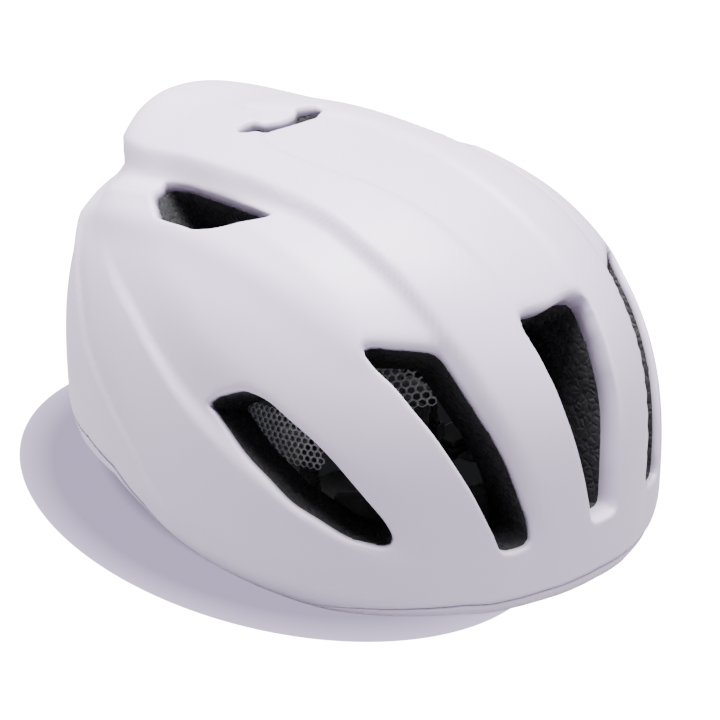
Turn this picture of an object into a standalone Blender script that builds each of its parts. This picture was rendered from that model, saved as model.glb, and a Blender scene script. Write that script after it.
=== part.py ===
"""Road cycling helmet: in-mould shell, foam liner, comfort pads, webbing and a dial-adjusted cradle.

The front faces -Y, the wearer's right is -X, and the helmet stands on the plane z = 0 with its
bottom centre at the origin. Shapes on the helmet are set out as (azimuth, elevation) in degrees
about the dome's centre: azimuth 0 is the front, -90 the wearer's right.
"""

import math
from math import asin, atan2, cos, degrees, hypot, pi, radians, sin, sqrt

import bmesh
import bpy
from mathutils import Matrix, Vector

# Outer dome
HALF_WIDTH = 0.100
FRONT_REACH = 0.136
REAR_REACH = 0.151
CROWN_HEIGHT = 0.122
CENTRE_HEIGHT = 0.033
TUCK_DEPTH = 0.055
PLAN_POWER = 2.07
FRONT_POWER = 2.75
SIDE_POWER = 2.6
REAR_POWER = 2.9
TAIL_RISE = 0.0147
TAIL_ELEVATION = radians(44.6)
TAIL_SPREAD = radians(6)
TAIL_SPAN = 0.31
# Height of the lower edge above the ground at each azimuth; the helmet stands where it is zero
RIM = [
    (0, 0.0205), (20, 0.016), (32, 0.0125), (45, 0.0055), (57.5, 0), (72.5, 0), (90, 0.012),
    (105, 0.024), (120, 0.027), (142, 0.017), (160, 0.006), (172.5, 0), (180, 0),
]

# Walls and clearances
SHELL_WALL = 0.0012
TRIM_HEIGHT = 0.005
TRIM_LIP = 0.007
SEAT_GAP = 0.0003
FIT_GAP = 0.0004
FACET_GAP = 0.0006
SIDE_FOAM = 0.024
FRONT_FOAM = 0.030
REAR_FOAM = 0.040
CROWN_FOAM = 0.027
CAVITY_POWER = 2.2
CAVITY_TUCK = 0.075

# Pads
PAD_THICKNESS = 0.007
HOOK_RADIUS = 0.0045
HOOK_THICKNESS = 0.0007
NET_THICKNESS = 0.0008

# Fit system
PEG_AZIMUTH = 68
PEG_HEIGHT = 0.036
PEG_RADIUS = 0.0022
PEG_CLEARANCE = 0.0004
PEG_LENGTH = 0.0125
BAND_DEPTH = 0.0045
BAND_HEIGHT = 0.010
BAND_THICKNESS = 0.0016
BAND_TRAVEL = 0.006
CRADLE_GAP = 0.018
CRADLE_HEIGHT = 0.030
PITCH_RADIUS = 0.0032
PINION_TEETH = 8
TOOTH_DEPTH = 0.0008
RACK_HEIGHT = 0.004
FRAME_WIDTH = 0.044
FRAME_HEIGHT = 0.036
FRAME_THICKNESS = 0.003
COVER_WIDTH = 0.034
COVER_HEIGHT = 0.026
COVER_DEPTH = 0.010
COVER_WALL = 0.0015
KNOB_RADIUS = 0.015
KNOB_WIDTH = 0.008
KNOB_RIBS = 20
SHAFT_RADIUS = 0.0022
STEM_WIDTH = 0.014
STEM_THICKNESS = 0.002
STEM_TOP = 0.076
GUIDE_HEIGHT = 0.071
POCKET_WIDTH = 0.052
POCKET_TOP = 0.064

# Webbing and buckle
WEB_WIDTH = 0.015
WEB_THICKNESS = 0.0012
WEB_FLOOR = 0.0012
FRONT_ANCHOR_AZIMUTH = 60
FRONT_ANCHOR_HEIGHT = 0.014
REAR_ANCHOR_AZIMUTH = 118
ANCHOR_THICKNESS = 0.0025
SPLITTER_OUT = 0.054
SPLITTER_LENGTH = 0.019
SPLITTER_WIDTH = 0.018
SPLITTER_THICKNESS = 0.0045
LEVER_THICKNESS = 0.0025
BUCKLE_LENGTH = 0.044
BUCKLE_WIDTH = 0.021
BUCKLE_THICKNESS = 0.007
BUCKLE_WALL = 0.0014
PRONG_LENGTH = 0.012
CHIN_LOOP_HEIGHT = 0.040

# Openings through shell and foam, on the wearer's right; all but the brow and tail slots are mirrored
SIDE_VENTS = {
    "front_vent": [(-13.6, 7), (-17, 5.4), (-20, 9), (-26, 21.6), (-32, 30), (-40.5, 39.5), (-30.5, 39.8),
                   (-25, 37.5), (-20.5, 28.6), (-16.2, 18.6)],
    "temple_vent": [(-77, 27.2), (-66.5, 19.8), (-55, 12.3), (-44, 7.4), (-36.5, 7.5), (-43.8, 18.6),
                    (-51, 25.2), (-60.6, 30.4), (-69, 31.8)],
    "rear_vent": [(-129, 52.5), (-127, 57.5), (-115, 62.5), (-98, 65), (-84.7, 64.5), (-94, 58.5),
                  (-106, 53.6), (-119, 51)],
}
CENTRE_VENTS = {
    "brow_slot": [(-8.5, 40.5), (-7, 30), (-5, 17), (-4, 7), (4, 7), (5, 17), (7, 30), (8.5, 40.5)],
    "tail_slot": [(-155.3, 65), (-165, 70), (-178, 71.5), (178, 71.5), (165, 70), (155.3, 65), (178, 66), (-178, 66)],
}
COLUMNS = 60
DOME_ROWS = 14

CENTRE = Vector((0, 0, CENTRE_HEIGHT))


def material(name, colour, roughness, metallic=0.0):
    made = bpy.data.materials.new(name)
    made.use_nodes = True
    shader = made.node_tree.nodes["Principled BSDF"]
    shader.inputs["Base Color"].default_value = (*colour, 1)
    shader.inputs["Roughness"].default_value = roughness
    shader.inputs["Metallic"].default_value = metallic
    return made


def clear_scene():
    for old in list(bpy.data.objects):
        bpy.data.objects.remove(old)


clear_scene()
PARTS = bpy.data.collections.new("cycling_helmet")
CUTTERS = bpy.data.collections.new("cutters")
bpy.context.scene.collection.children.link(PARTS)
bpy.context.scene.collection.children.link(CUTTERS)
TOOLS = bpy.data.collections.new("tools")
bpy.context.scene.collection.children.link(TOOLS)

SHELL_WHITE = material("shell_white", (0.80, 0.77, 0.84), 0.45)
TRIM_WHITE = material("trim_white", (0.78, 0.74, 0.80), 0.5)
FOAM_BLACK = material("foam_black", (0.012, 0.012, 0.013), 0.9)
NET_GREY = material("net_grey", (0.35, 0.36, 0.38), 0.5)
PAD_BLACK = material("pad_black", (0.02, 0.02, 0.022), 0.95)
HOOK_BLACK = material("hook_black", (0.03, 0.03, 0.03), 0.9)
PLASTIC_BLACK = material("plastic_black", (0.02, 0.02, 0.02), 0.45)
WEB_BLACK = material("web_black", (0.03, 0.03, 0.032), 0.85)
RUBBER_GREY = material("rubber_grey", (0.10, 0.10, 0.11), 0.8)
STEEL = material("steel", (0.6, 0.6, 0.6), 0.3, 1.0)


def link(name, mesh, made_of, collection=PARTS):
    piece = bpy.data.objects.new(name, mesh)
    if made_of:
        mesh.materials.append(made_of)
    collection.objects.link(piece)
    if collection is CUTTERS:
        piece.hide_render = True
        piece.display_type = "WIRE"
    return piece


def from_bmesh(name, bm, made_of, collection=PARTS):
    mesh = bpy.data.meshes.new(name)
    bm.to_mesh(mesh)
    bm.free()
    return link(name, mesh, made_of, collection)


def tool(piece):
    """Move an operand out of the vent cutters, which all act together."""
    for home in list(piece.users_collection):
        home.objects.unlink(piece)
    TOOLS.objects.link(piece)
    piece.hide_render = True
    piece.display_type = "WIRE"
    return piece


def boolean(piece, operand, operation="DIFFERENCE"):
    cut = piece.modifiers.new(operand.name, "BOOLEAN")
    cut.operation = operation
    cut.solver = "EXACT"
    if isinstance(operand, bpy.types.Collection):
        cut.operand_type = "COLLECTION"
        cut.collection = operand
    else:
        cut.object = operand


def bevel(piece, width, segments=1, angle=radians(40)):
    edge = piece.modifiers.new("edge", "BEVEL")
    edge.width = width
    edge.segments = segments
    edge.limit_method = "ANGLE"
    edge.angle_limit = angle


def solidify(piece, thickness, offset=-1.0):
    wall = piece.modifiers.new("wall", "SOLIDIFY")
    wall.thickness = thickness
    wall.offset = offset


def set_origin(piece, origin):
    """Move a piece's origin onto its joint axis without moving its surface."""
    piece.data.transform(Matrix.Translation(-Vector(origin)))
    piece.location = Vector(origin)


# ---------------------------------------------------------------- dome and cavity


def direction(azimuth, elevation):
    return Vector((cos(elevation) * sin(azimuth), -cos(elevation) * cos(azimuth), sin(elevation)))


def ellipse(along, across, x, y, power):
    return 1 / ((abs(y) / along) ** power + (abs(x) / across) ** power) ** (1 / power)


def dome_radius(way):
    """Distance from the centre to the outer surface along a unit direction."""
    level = hypot(way.x, way.y) or 1e-9
    front = max(0, -way.y / level) ** 2
    rear = max(0, way.y / level) ** 2
    reach = FRONT_REACH if way.y < 0 else REAR_REACH
    plan = ellipse(reach, HALF_WIDTH, way.x / level, way.y / level, PLAN_POWER)
    if way.z < 0:
        return 1 / sqrt((level / plan) ** 2 + (way.z / TUCK_DEPTH) ** 2)
    power = FRONT_POWER * front + REAR_POWER * rear + SIDE_POWER * (1 - front - rear)
    radius = 1 / ((level / plan) ** power + (way.z / CROWN_HEIGHT) ** power) ** (1 / power)
    aside = atan2(way.x, way.y) * level / TAIL_SPAN
    above = (asin(min(1, way.z)) - TAIL_ELEVATION) / TAIL_SPREAD
    return radius + TAIL_RISE * math.exp(-(aside**2) - above**2)


def cavity_radius(way):
    """Distance from the centre to the foam's inner surface along a unit direction."""
    level = hypot(way.x, way.y) or 1e-9
    reach = FRONT_REACH - FRONT_FOAM if way.y < 0 else REAR_REACH - REAR_FOAM
    plan = ellipse(reach, HALF_WIDTH - SIDE_FOAM, way.x / level, way.y / level, 2)
    if way.z < 0:
        return 1 / sqrt((level / plan) ** 2 + (way.z / CAVITY_TUCK) ** 2)
    return 1 / ((level / plan) ** CAVITY_POWER + (way.z / (CROWN_HEIGHT - CROWN_FOAM)) ** CAVITY_POWER) ** (
        1 / CAVITY_POWER
    )


def surface_point(radius_of, way, depth=0.0):
    """Point on a dome along a unit direction, moved inwards along its normal by depth."""
    here = CENTRE + radius_of(way) * way
    if not depth:
        return here
    return here - surface_normal(radius_of, way) * depth


def surface_normal(radius_of, way):
    side = way.orthogonal().normalized()
    other = way.cross(side)
    step = 0.004
    tangents = []
    for turn in (side, other):
        ahead = (way + turn * step).normalized()
        behind = (way - turn * step).normalized()
        tangents.append(radius_of(ahead) * ahead - radius_of(behind) * behind)
    normal = tangents[0].cross(tangents[1]).normalized()
    return normal if normal.dot(way) > 0 else -normal


def rim_height(azimuth):
    """Height of the lower edge, read between the listed azimuths."""
    turn = abs(degrees(azimuth))
    turn = min(turn, 360 - turn)
    for (start, low), (end, high) in zip(RIM, RIM[1:]):
        if turn <= end + 1e-6:
            share = (turn - start) / (end - start)
            return low + (high - low) * share
    return RIM[-1][1]


def elevation_at(radius_of, azimuth, height, depth=0.0):
    """Elevation at which a dome meets a height, by halving."""
    low, high = radians(-50), radians(60)
    for _ in range(40):
        middle = (low + high) / 2
        if surface_point(radius_of, direction(azimuth, middle), depth).z > height:
            high = middle
        else:
            low = middle
    return high


# ---------------------------------------------------------------- mesh makers


def sheet(name, columns, rows, place, made_of, around=False):
    """Open surface from a grid: place(u, v) gives each point, and faces look away from the centre."""
    bm = bmesh.new()
    add_sheet(bm, columns, rows, place)
    if around:
        bmesh.ops.remove_doubles(bm, verts=bm.verts, dist=1e-6)
    return from_bmesh(name, bm, made_of)


def add_sheet(bm, columns, rows, place, outwards=True):
    made = bmesh.ops.create_grid(bm, x_segments=columns, y_segments=rows, size=1)["verts"]
    for vert in made:
        vert.co = place((vert.co.x + 1) / 2, (vert.co.y + 1) / 2)
    bmesh.ops.remove_doubles(bm, verts=made, dist=1e-6)
    faces = [face for face in bm.faces if not face.tag]
    bm.normal_update()
    facing = sum(face.normal.dot(face.calc_center_median() - CENTRE) * face.calc_area() for face in faces)
    if (facing < 0) == outwards:
        bmesh.ops.reverse_faces(bm, faces=faces)
    for face in faces:
        face.tag = True


def box(name, low, high, made_of, edge=0.0, collection=PARTS):
    bm = bmesh.new()
    bmesh.ops.create_cube(bm, size=1)
    low, high = Vector(low), Vector(high)
    for vert in bm.verts:
        vert.co = Vector((low[i] + (vert.co[i] + 0.5) * (high[i] - low[i]) for i in range(3)))
    piece = from_bmesh(name, bm, made_of, collection)
    if edge:
        bevel(piece, edge)
    return piece


def rod(name, start, end, radius, made_of, sides=16, collection=PARTS):
    start, end = Vector(start), Vector(end)
    bm = bmesh.new()
    bmesh.ops.create_cone(
        bm, cap_ends=True, segments=sides, radius1=radius, radius2=radius, depth=(end - start).length
    )
    turn = Vector((0, 0, 1)).rotation_difference(end - start).to_matrix().to_4x4()
    bm.transform(Matrix.Translation((start + end) / 2) @ turn)
    return from_bmesh(name, bm, made_of, collection)


def ribbon(name, points, across, width, thickness, made_of, collection=PARTS):
    """Flat strip along points: across is its width's direction, and width may be a list."""
    widths = width if isinstance(width, list) else [width] * len(points)
    across = [Vector(a).normalized() for a in (across if isinstance(across, list) else [across] * len(points))]
    points = [Vector(p) for p in points]
    bm = bmesh.new()
    rings = []
    for i, here in enumerate(points):
        ahead = points[min(i + 1, len(points) - 1)] - points[max(i - 1, 0)]
        up = ahead.cross(across[i]).normalized() * thickness / 2
        side = across[i] * widths[i] / 2
        rings.append([bm.verts.new(here + a * side + b * up) for a, b in ((1, 1), (-1, 1), (-1, -1), (1, -1))])
    for first, second in zip(rings, rings[1:]):
        for i in range(4):
            bm.faces.new((first[i], first[(i + 1) % 4], second[(i + 1) % 4], second[i]))
    bm.faces.new(rings[0])
    bm.faces.new(rings[-1])
    bmesh.ops.recalc_face_normals(bm, faces=bm.faces)
    return from_bmesh(name, bm, made_of, collection)


def bezier(start, start_handle, end_handle, end, count):
    corners = [Vector(p) for p in (start, start_handle, end_handle, end)]
    found = []
    for i in range(count + 1):
        t = i / count
        weights = ((1 - t) ** 3, 3 * t * (1 - t) ** 2, 3 * t * t * (1 - t), t**3)
        found.append(sum((w * c for w, c in zip(weights, corners)), Vector()))
    return found


# ---------------------------------------------------------------- shell, trim and foam


def outer_rows(lift):
    """Place function for the outer dome from lift above the rim up to the crown."""

    def place(u, v, depth=0.0):
        azimuth = (u * 2 - 1) * pi
        low = elevation_at(dome_radius, azimuth, rim_height(azimuth) + lift)
        return surface_point(dome_radius, direction(azimuth, low + (pi / 2 - low) * v), depth)

    return place


def make_cutters():
    """One radial wedge per vent, wide enough to pass through shell and foam."""
    outlines = dict(CENTRE_VENTS)
    for name, outline in SIDE_VENTS.items():
        outlines[name + "_right"] = outline
        outlines[name + "_left"] = [(-azimuth, elevation) for azimuth, elevation in reversed(outline)]
    for name, outline in outlines.items():
        ways = [direction(radians(a), radians(e)) for a, e in outline]
        bm = bmesh.new()
        inner = [bm.verts.new(CENTRE + way * (cavity_radius(way) - 0.02)) for way in ways]
        outer = [bm.verts.new(CENTRE + way * (dome_radius(way) + 0.03)) for way in ways]
        for i in range(len(ways)):
            j = (i + 1) % len(ways)
            bm.faces.new((inner[i], inner[j], outer[j], outer[i]))
        bm.faces.new(inner)
        bm.faces.new(outer)
        bmesh.ops.triangulate(bm, faces=bm.faces)
        bmesh.ops.recalc_face_normals(bm, faces=bm.faces)
        from_bmesh(name, bm, None, CUTTERS)


def make_shell():
    shell = sheet("upper_shell", COLUMNS, DOME_ROWS, outer_rows(TRIM_HEIGHT + 2 * FIT_GAP), SHELL_WHITE)
    solidify(shell, SHELL_WALL)
    boolean(shell, CUTTERS)


def make_trim():
    """White edge strip below the shell, turned in under the foam."""

    def place(u, v):
        azimuth = (u * 2 - 1) * pi
        rim = rim_height(azimuth)
        corner = surface_point(dome_radius, direction(azimuth, elevation_at(dome_radius, azimuth, rim)))
        if v < 0.25:
            inwards = Vector((corner.x, corner.y, 0)).normalized()
            return corner - inwards * TRIM_LIP
        if v < 0.75:
            return corner
        top = elevation_at(dome_radius, azimuth, rim + TRIM_HEIGHT)
        return surface_point(dome_radius, direction(azimuth, top))

    trim = sheet("lower_trim", COLUMNS, 2, place, TRIM_WHITE)
    solidify(trim, SHELL_WALL)


def foam_rim(azimuth):
    return rim_height(azimuth) + SHELL_WALL + 1.5 * FIT_GAP


def make_liner():
    depth = SHELL_WALL + 1.5 * FIT_GAP

    def outside(u, v):
        azimuth = (u * 2 - 1) * pi
        if v < 0.5 / (DOME_ROWS + 1):
            low = elevation_at(dome_radius, azimuth, foam_rim(azimuth), depth)
            return surface_point(dome_radius, direction(azimuth, low), depth)
        return above_trim(u, (v * (DOME_ROWS + 1) - 1) / DOME_ROWS, depth)

    def inside(u, v):
        azimuth = (u * 2 - 1) * pi
        low = elevation_at(cavity_radius, azimuth, foam_rim(azimuth))
        return surface_point(cavity_radius, direction(azimuth, low + (pi / 2 - low) * v))

    above_trim = outer_rows(TRIM_HEIGHT + 2 * FIT_GAP)
    bm = bmesh.new()
    add_sheet(bm, COLUMNS, DOME_ROWS + 1, outside)
    add_sheet(bm, COLUMNS, DOME_ROWS, inside, outwards=False)
    rims = [edge for edge in bm.edges if edge.is_boundary]
    bmesh.ops.bridge_loops(bm, edges=rims)
    bmesh.ops.recalc_face_normals(bm, faces=bm.faces)
    liner = from_bmesh("eps_liner", bm, FOAM_BLACK)
    boolean(liner, CUTTERS)
    wall_y = rear_wall(CRADLE_HEIGHT)
    pocket = tool(box(
        "dial_pocket",
        (-POCKET_WIDTH / 2, wall_y - 0.03, -0.01),
        (POCKET_WIDTH / 2, cradle_back() + KNOB_WIDTH + 0.003, POCKET_TOP),
        None,
        0.006,
        CUTTERS,
    ))
    boolean(liner, pocket)


# ---------------------------------------------------------------- pads and nets


def patch(name, way_at, columns, rows, depth, thickness, made_of):
    """Solid that follows the cavity wall: way_at(u, v) gives the direction, u and v from -1 to 1."""

    def place(u, v):
        return surface_point(cavity_radius, way_at(u * 2 - 1, v * 2 - 1), depth)

    piece = sheet(name, columns, rows, place, made_of)
    solidify(piece, thickness)
    return piece


def around(azimuth, elevation, half_turn, half_rise, taper=0.35):
    """Directions of an oblong set square to the horizon, its height drawn in towards both ends."""

    def way_at(u, v):
        rise = half_rise * v * (1 - taper * u**4)
        return direction(radians(azimuth + half_turn * u), radians(elevation + rise))

    return way_at


def over(forward, aside, half_length, half_width, taper=0.35):
    """Directions of an oblong laid front to back over the crown: forward 0 is the front, 90 the top."""

    def way_at(u, v):
        along = radians(forward + half_length * u)
        across = radians(aside + half_width * v * (1 - taper * u**4))
        return Vector((sin(across), -cos(across) * cos(along), cos(across) * sin(along)))

    return way_at


PADS = {
    "brow_pad": (around(0, 5, 50, 7), 12, 2, [(-0.6, 0), (0.6, 0)]),
    "crown_pad": (over(76, 0, 26, 7), 6, 2, [(-0.5, 0), (0.5, 0)]),
    "side_pad_right": (over(70, -31, 18, 5.5), 5, 2, [(0, 0)]),
    "side_pad_left": (over(70, 31, 18, 5.5), 5, 2, [(0, 0)]),
    "rear_pad_right": (around(-136, 33, 13, 6), 4, 2, [(0, 0)]),
    "rear_pad_left": (around(136, 33, 13, 6), 4, 2, [(0, 0)]),
}


def make_pads():
    hook_depth = SEAT_GAP + FACET_GAP + 0.0001
    pad_depth = hook_depth + HOOK_THICKNESS + SEAT_GAP
    for name, (way_at, columns, rows, hooks) in PADS.items():
        pad = patch(name, way_at, columns, rows, pad_depth, PAD_THICKNESS, PAD_BLACK)
        bevel(pad, 0.0018)
        for number, (u, v) in enumerate(hooks, 1):
            way = way_at(u, v)
            normal = surface_normal(cavity_radius, way)
            seat = surface_point(cavity_radius, way, hook_depth)
            rod(f"{name}_hook_{number}", seat, seat - normal * HOOK_THICKNESS, HOOK_RADIUS, HOOK_BLACK, 10)


def make_nets():
    for side, sign in (("right", -1), ("left", 1)):
        patch(
            f"insect_net_{side}", around(50 * sign, 24, 20, 9.5, 0), 6, 3, SEAT_GAP + FACET_GAP,
            NET_THICKNESS, NET_GREY,
        )


# ---------------------------------------------------------------- fit system


def rear_wall(height):
    way = direction(pi, elevation_at(cavity_radius, pi, height))
    return surface_point(cavity_radius, way).y


def cradle_front():
    """Y of the frame's rear face, against which the cover seats."""
    return rear_wall(CRADLE_HEIGHT) - CRADLE_GAP - SEAT_GAP


def cradle_back():
    """Y of the knob's front face."""
    return cradle_front() + SEAT_GAP + COVER_DEPTH + SEAT_GAP + 0.0008 + SEAT_GAP


def gear_plane():
    return cradle_front() + SEAT_GAP + (COVER_DEPTH - COVER_WALL) / 2


def peg_point(side):
    way = direction(side * radians(PEG_AZIMUTH), elevation_at(cavity_radius, radians(PEG_AZIMUTH), PEG_HEIGHT))
    return surface_point(cavity_radius, way)


def make_temple_anchor(side_name, side):
    """Button seated on the foam, with a peg along X that the band's eye slides on."""
    wall = peg_point(side)
    normal = surface_normal(cavity_radius, (wall - CENTRE).normalized())
    base = wall - normal * (SEAT_GAP + FACET_GAP)
    anchor = rod(f"temple_anchor_{side_name}", base, base - normal * 0.002, 0.0055, PLASTIC_BLACK)
    peg = tool(rod(
        f"temple_peg_{side_name}", (wall.x - side * 0.0015, wall.y, wall.z),
        (wall.x - side * PEG_LENGTH, wall.y, wall.z), PEG_RADIUS, None, 12, CUTTERS,
    ))
    boolean(anchor, peg, "UNION")


def rack_level(side):
    """Height of a rack's centre line: the left band's runs below the pinion, the right band's above."""
    return CRADLE_HEIGHT - side * (PITCH_RADIUS - TOOTH_DEPTH + FIT_GAP + RACK_HEIGHT / 2)


def band_route(side):
    """Centre line of a band from just ahead of its peg round to the straight that carries the rack."""
    points, widths = [], []
    first, last, count = PEG_AZIMUTH - 6, 146, 12
    for i in range(count + 1):
        share = i / count
        turn = side * radians(first + (last - first) * share)
        height = PEG_HEIGHT + (CRADLE_HEIGHT - PEG_HEIGHT) * share
        way = direction(turn, elevation_at(cavity_radius, turn, height, BAND_DEPTH))
        points.append(surface_point(cavity_radius, way, BAND_DEPTH))
        widths.append(BAND_HEIGHT)
    straight = COVER_WIDTH / 2 + BAND_TRAVEL
    for x, width in ((straight + 0.007, 0.8 * BAND_HEIGHT), (straight + 0.003, 0.6 * BAND_HEIGHT),
                     (straight + 0.001, RACK_HEIGHT), (-0.0045, RACK_HEIGHT)):
        points.append(Vector((side * x, gear_plane(), rack_level(side))))
        widths.append(width)
    return points, widths


def make_band(side_name, side):
    points, widths = band_route(side)
    band = ribbon(f"halo_band_{side_name}", points, (0, 0, 1), widths, BAND_THICKNESS, PLASTIC_BLACK)
    wall = peg_point(side)
    boolean(band, tool(rod(
        f"band_eye_{side_name}", (wall.x - side * 0.002, wall.y, wall.z), (wall.x - side * 0.03, wall.y, wall.z),
        PEG_RADIUS + PEG_CLEARANCE, None, 16, CUTTERS,
    )))
    pitch = 2 * pi * PITCH_RADIUS / PINION_TEETH
    inner_edge = rack_level(side) + side * RACK_HEIGHT / 2
    deepest = CRADLE_HEIGHT - side * (PITCH_RADIUS + TOOTH_DEPTH + SEAT_GAP)
    levels = sorted((inner_edge + side * 0.001, deepest))
    for tooth in range(-1, 4):
        x = side * tooth * pitch
        boolean(band, tool(box(
            f"rack_notch_{side_name}_{tooth + 1}", (x - pitch * 0.32, gear_plane() - 0.003, levels[0]),
            (x + pitch * 0.32, gear_plane() + 0.003, levels[1]), None, 0, CUTTERS,
        )))


def toothed(name, start, end, teeth, root, tip, made_of):
    """Short toothed or ribbed wheel along Y, a tooth pointing straight up."""
    bm = bmesh.new()
    outline = []
    for tooth in range(teeth):
        for radius, lean in ((root, -0.32), (tip, -0.1), (tip, 0.1), (root, 0.32)):
            angle = (tooth + lean) * 2 * pi / teeth
            outline.append(bm.verts.new((radius * sin(angle), 0, radius * cos(angle))))
    face = bm.faces.new(outline)
    extruded = bmesh.ops.extrude_face_region(bm, geom=[face])["geom"]
    far = [vert for vert in extruded if isinstance(vert, bmesh.types.BMVert)]
    bmesh.ops.translate(bm, verts=far, vec=(0, end.y - start.y, 0))
    bmesh.ops.recalc_face_normals(bm, faces=bm.faces)
    bm.transform(Matrix.Translation(start))
    return from_bmesh(name, bm, made_of)


def make_dial():
    """Knob, toothed shaft, click ring and screw, all on the cradle's Y axis."""
    gear = gear_plane()
    back = cradle_back()
    root = PITCH_RADIUS - TOOTH_DEPTH
    centre = Vector((0, 0, CRADLE_HEIGHT))
    pinion = toothed(
        "dial_pinion", centre + Vector((0, gear - 0.0015, 0)), centre + Vector((0, gear + 0.0015, 0)),
        PINION_TEETH, root, PITCH_RADIUS + TOOTH_DEPTH * 0.8, PLASTIC_BLACK,
    )
    boolean(pinion, tool(rod(
        "dial_shaft", (0, gear - 0.001, CRADLE_HEIGHT), (0, back + KNOB_WIDTH / 2, CRADLE_HEIGHT),
        SHAFT_RADIUS, None, 16, CUTTERS,
    )), "UNION")
    ring = rod("click_ring", (0, back - SEAT_GAP - 0.0008, CRADLE_HEIGHT), (0, back - SEAT_GAP, CRADLE_HEIGHT),
               KNOB_RADIUS * 0.6, STEEL, 24)
    boolean(ring, tool(rod("click_ring_bore", (0, gear, CRADLE_HEIGHT), (0, back + 0.001, CRADLE_HEIGHT),
                           SHAFT_RADIUS + FIT_GAP, None, 16, CUTTERS)))
    knob = toothed(
        "dial_knob", centre + Vector((0, back, 0)), centre + Vector((0, back + KNOB_WIDTH, 0)),
        KNOB_RIBS, KNOB_RADIUS - 0.0008, KNOB_RADIUS, RUBBER_GREY,
    )
    boolean(knob, tool(rod("knob_bore", (0, back - 0.001, CRADLE_HEIGHT),
                           (0, back + KNOB_WIDTH / 2 + SEAT_GAP, CRADLE_HEIGHT),
                           SHAFT_RADIUS + SEAT_GAP, None, 16, CUTTERS)))
    boolean(knob, tool(rod("knob_recess", (0, back + KNOB_WIDTH * 0.7, CRADLE_HEIGHT),
                           (0, back + KNOB_WIDTH + 0.001, CRADLE_HEIGHT), 0.0034, None, 16, CUTTERS)))
    screw = rod("dial_screw", (0, back + KNOB_WIDTH * 0.7 + SEAT_GAP, CRADLE_HEIGHT),
                (0, back + KNOB_WIDTH - 0.0004, CRADLE_HEIGHT), 0.003, STEEL, 16)
    for piece in (pinion, knob, screw):
        set_origin(piece, (0, gear, CRADLE_HEIGHT))


def make_cradle():
    face = cradle_front()
    half, tall = FRAME_WIDTH / 2, FRAME_HEIGHT / 2
    box(
        "cradle_frame", (-half, face - FRAME_THICKNESS, CRADLE_HEIGHT - tall),
        (half, face, CRADLE_HEIGHT + tall), PLASTIC_BLACK, 0.001,
    )
    low = face + SEAT_GAP
    cover = box(
        "cradle_cover", (-COVER_WIDTH / 2, low, CRADLE_HEIGHT - COVER_HEIGHT / 2),
        (COVER_WIDTH / 2, low + COVER_DEPTH, CRADLE_HEIGHT + COVER_HEIGHT / 2), PLASTIC_BLACK,
    )
    boolean(cover, tool(box(
        "cover_hollow",
        (-COVER_WIDTH / 2 + COVER_WALL, low - 0.001, CRADLE_HEIGHT - COVER_HEIGHT / 2 + COVER_WALL),
        (COVER_WIDTH / 2 - COVER_WALL, low + COVER_DEPTH - COVER_WALL,
         CRADLE_HEIGHT + COVER_HEIGHT / 2 - COVER_WALL), None, 0, CUTTERS,
    )))
    boolean(cover, tool(rod(
        "cover_hole", (0, low + 0.002, CRADLE_HEIGHT), (0, low + COVER_DEPTH + 0.002, CRADLE_HEIGHT),
        SHAFT_RADIUS + FIT_GAP, None, 16, CUTTERS,
    )))
    for side in (-1, 1):
        ends = sorted((side * COVER_WIDTH * 0.42, side * COVER_WIDTH * 0.6))
        boolean(cover, tool(box(
            f"rack_slot_{side + 1}",
            (ends[0], gear_plane() - BAND_THICKNESS / 2 - FIT_GAP, rack_level(side) - RACK_HEIGHT / 2 - FIT_GAP),
            (ends[1], gear_plane() + BAND_THICKNESS / 2 + FIT_GAP, rack_level(side) + RACK_HEIGHT / 2 + FIT_GAP),
            None, 0, CUTTERS,
        )))
    foot = CRADLE_HEIGHT + COVER_HEIGHT / 2 + 1.3 * SEAT_GAP
    ribbon("height_stem", stem_line(foot, STEM_TOP, STEM_THICKNESS / 2), (1, 0, 0),
           STEM_WIDTH, STEM_THICKNESS, PLASTIC_BLACK)
    front = face - FRAME_THICKNESS - SEAT_GAP
    for side_name, side in (("right", -1), ("left", 1)):
        ends = sorted((side * 0.003, side * (half - 0.002)))
        box(f"cradle_pad_{side_name}", (ends[0], front - 0.0035, CRADLE_HEIGHT - tall * 0.75),
            (ends[1], front, CRADLE_HEIGHT + tall * 0.75), PAD_BLACK, 0.0012)


def stem_line(low, high, depth):
    """Arc about the temple pegs' axis, so that the stem slides along itself as the cradle tilts."""
    axis = peg_point(1)
    inner = hypot(cradle_front() + SEAT_GAP - axis.y, CRADLE_HEIGHT + FRAME_HEIGHT / 2 - axis.z)
    steps = 14
    heights = [low + (high - low) * i / steps for i in range(steps + 1)]
    return [Vector((0, axis.y + sqrt((inner + depth) ** 2 - (z - axis.z) ** 2), z)) for z in heights]


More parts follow.
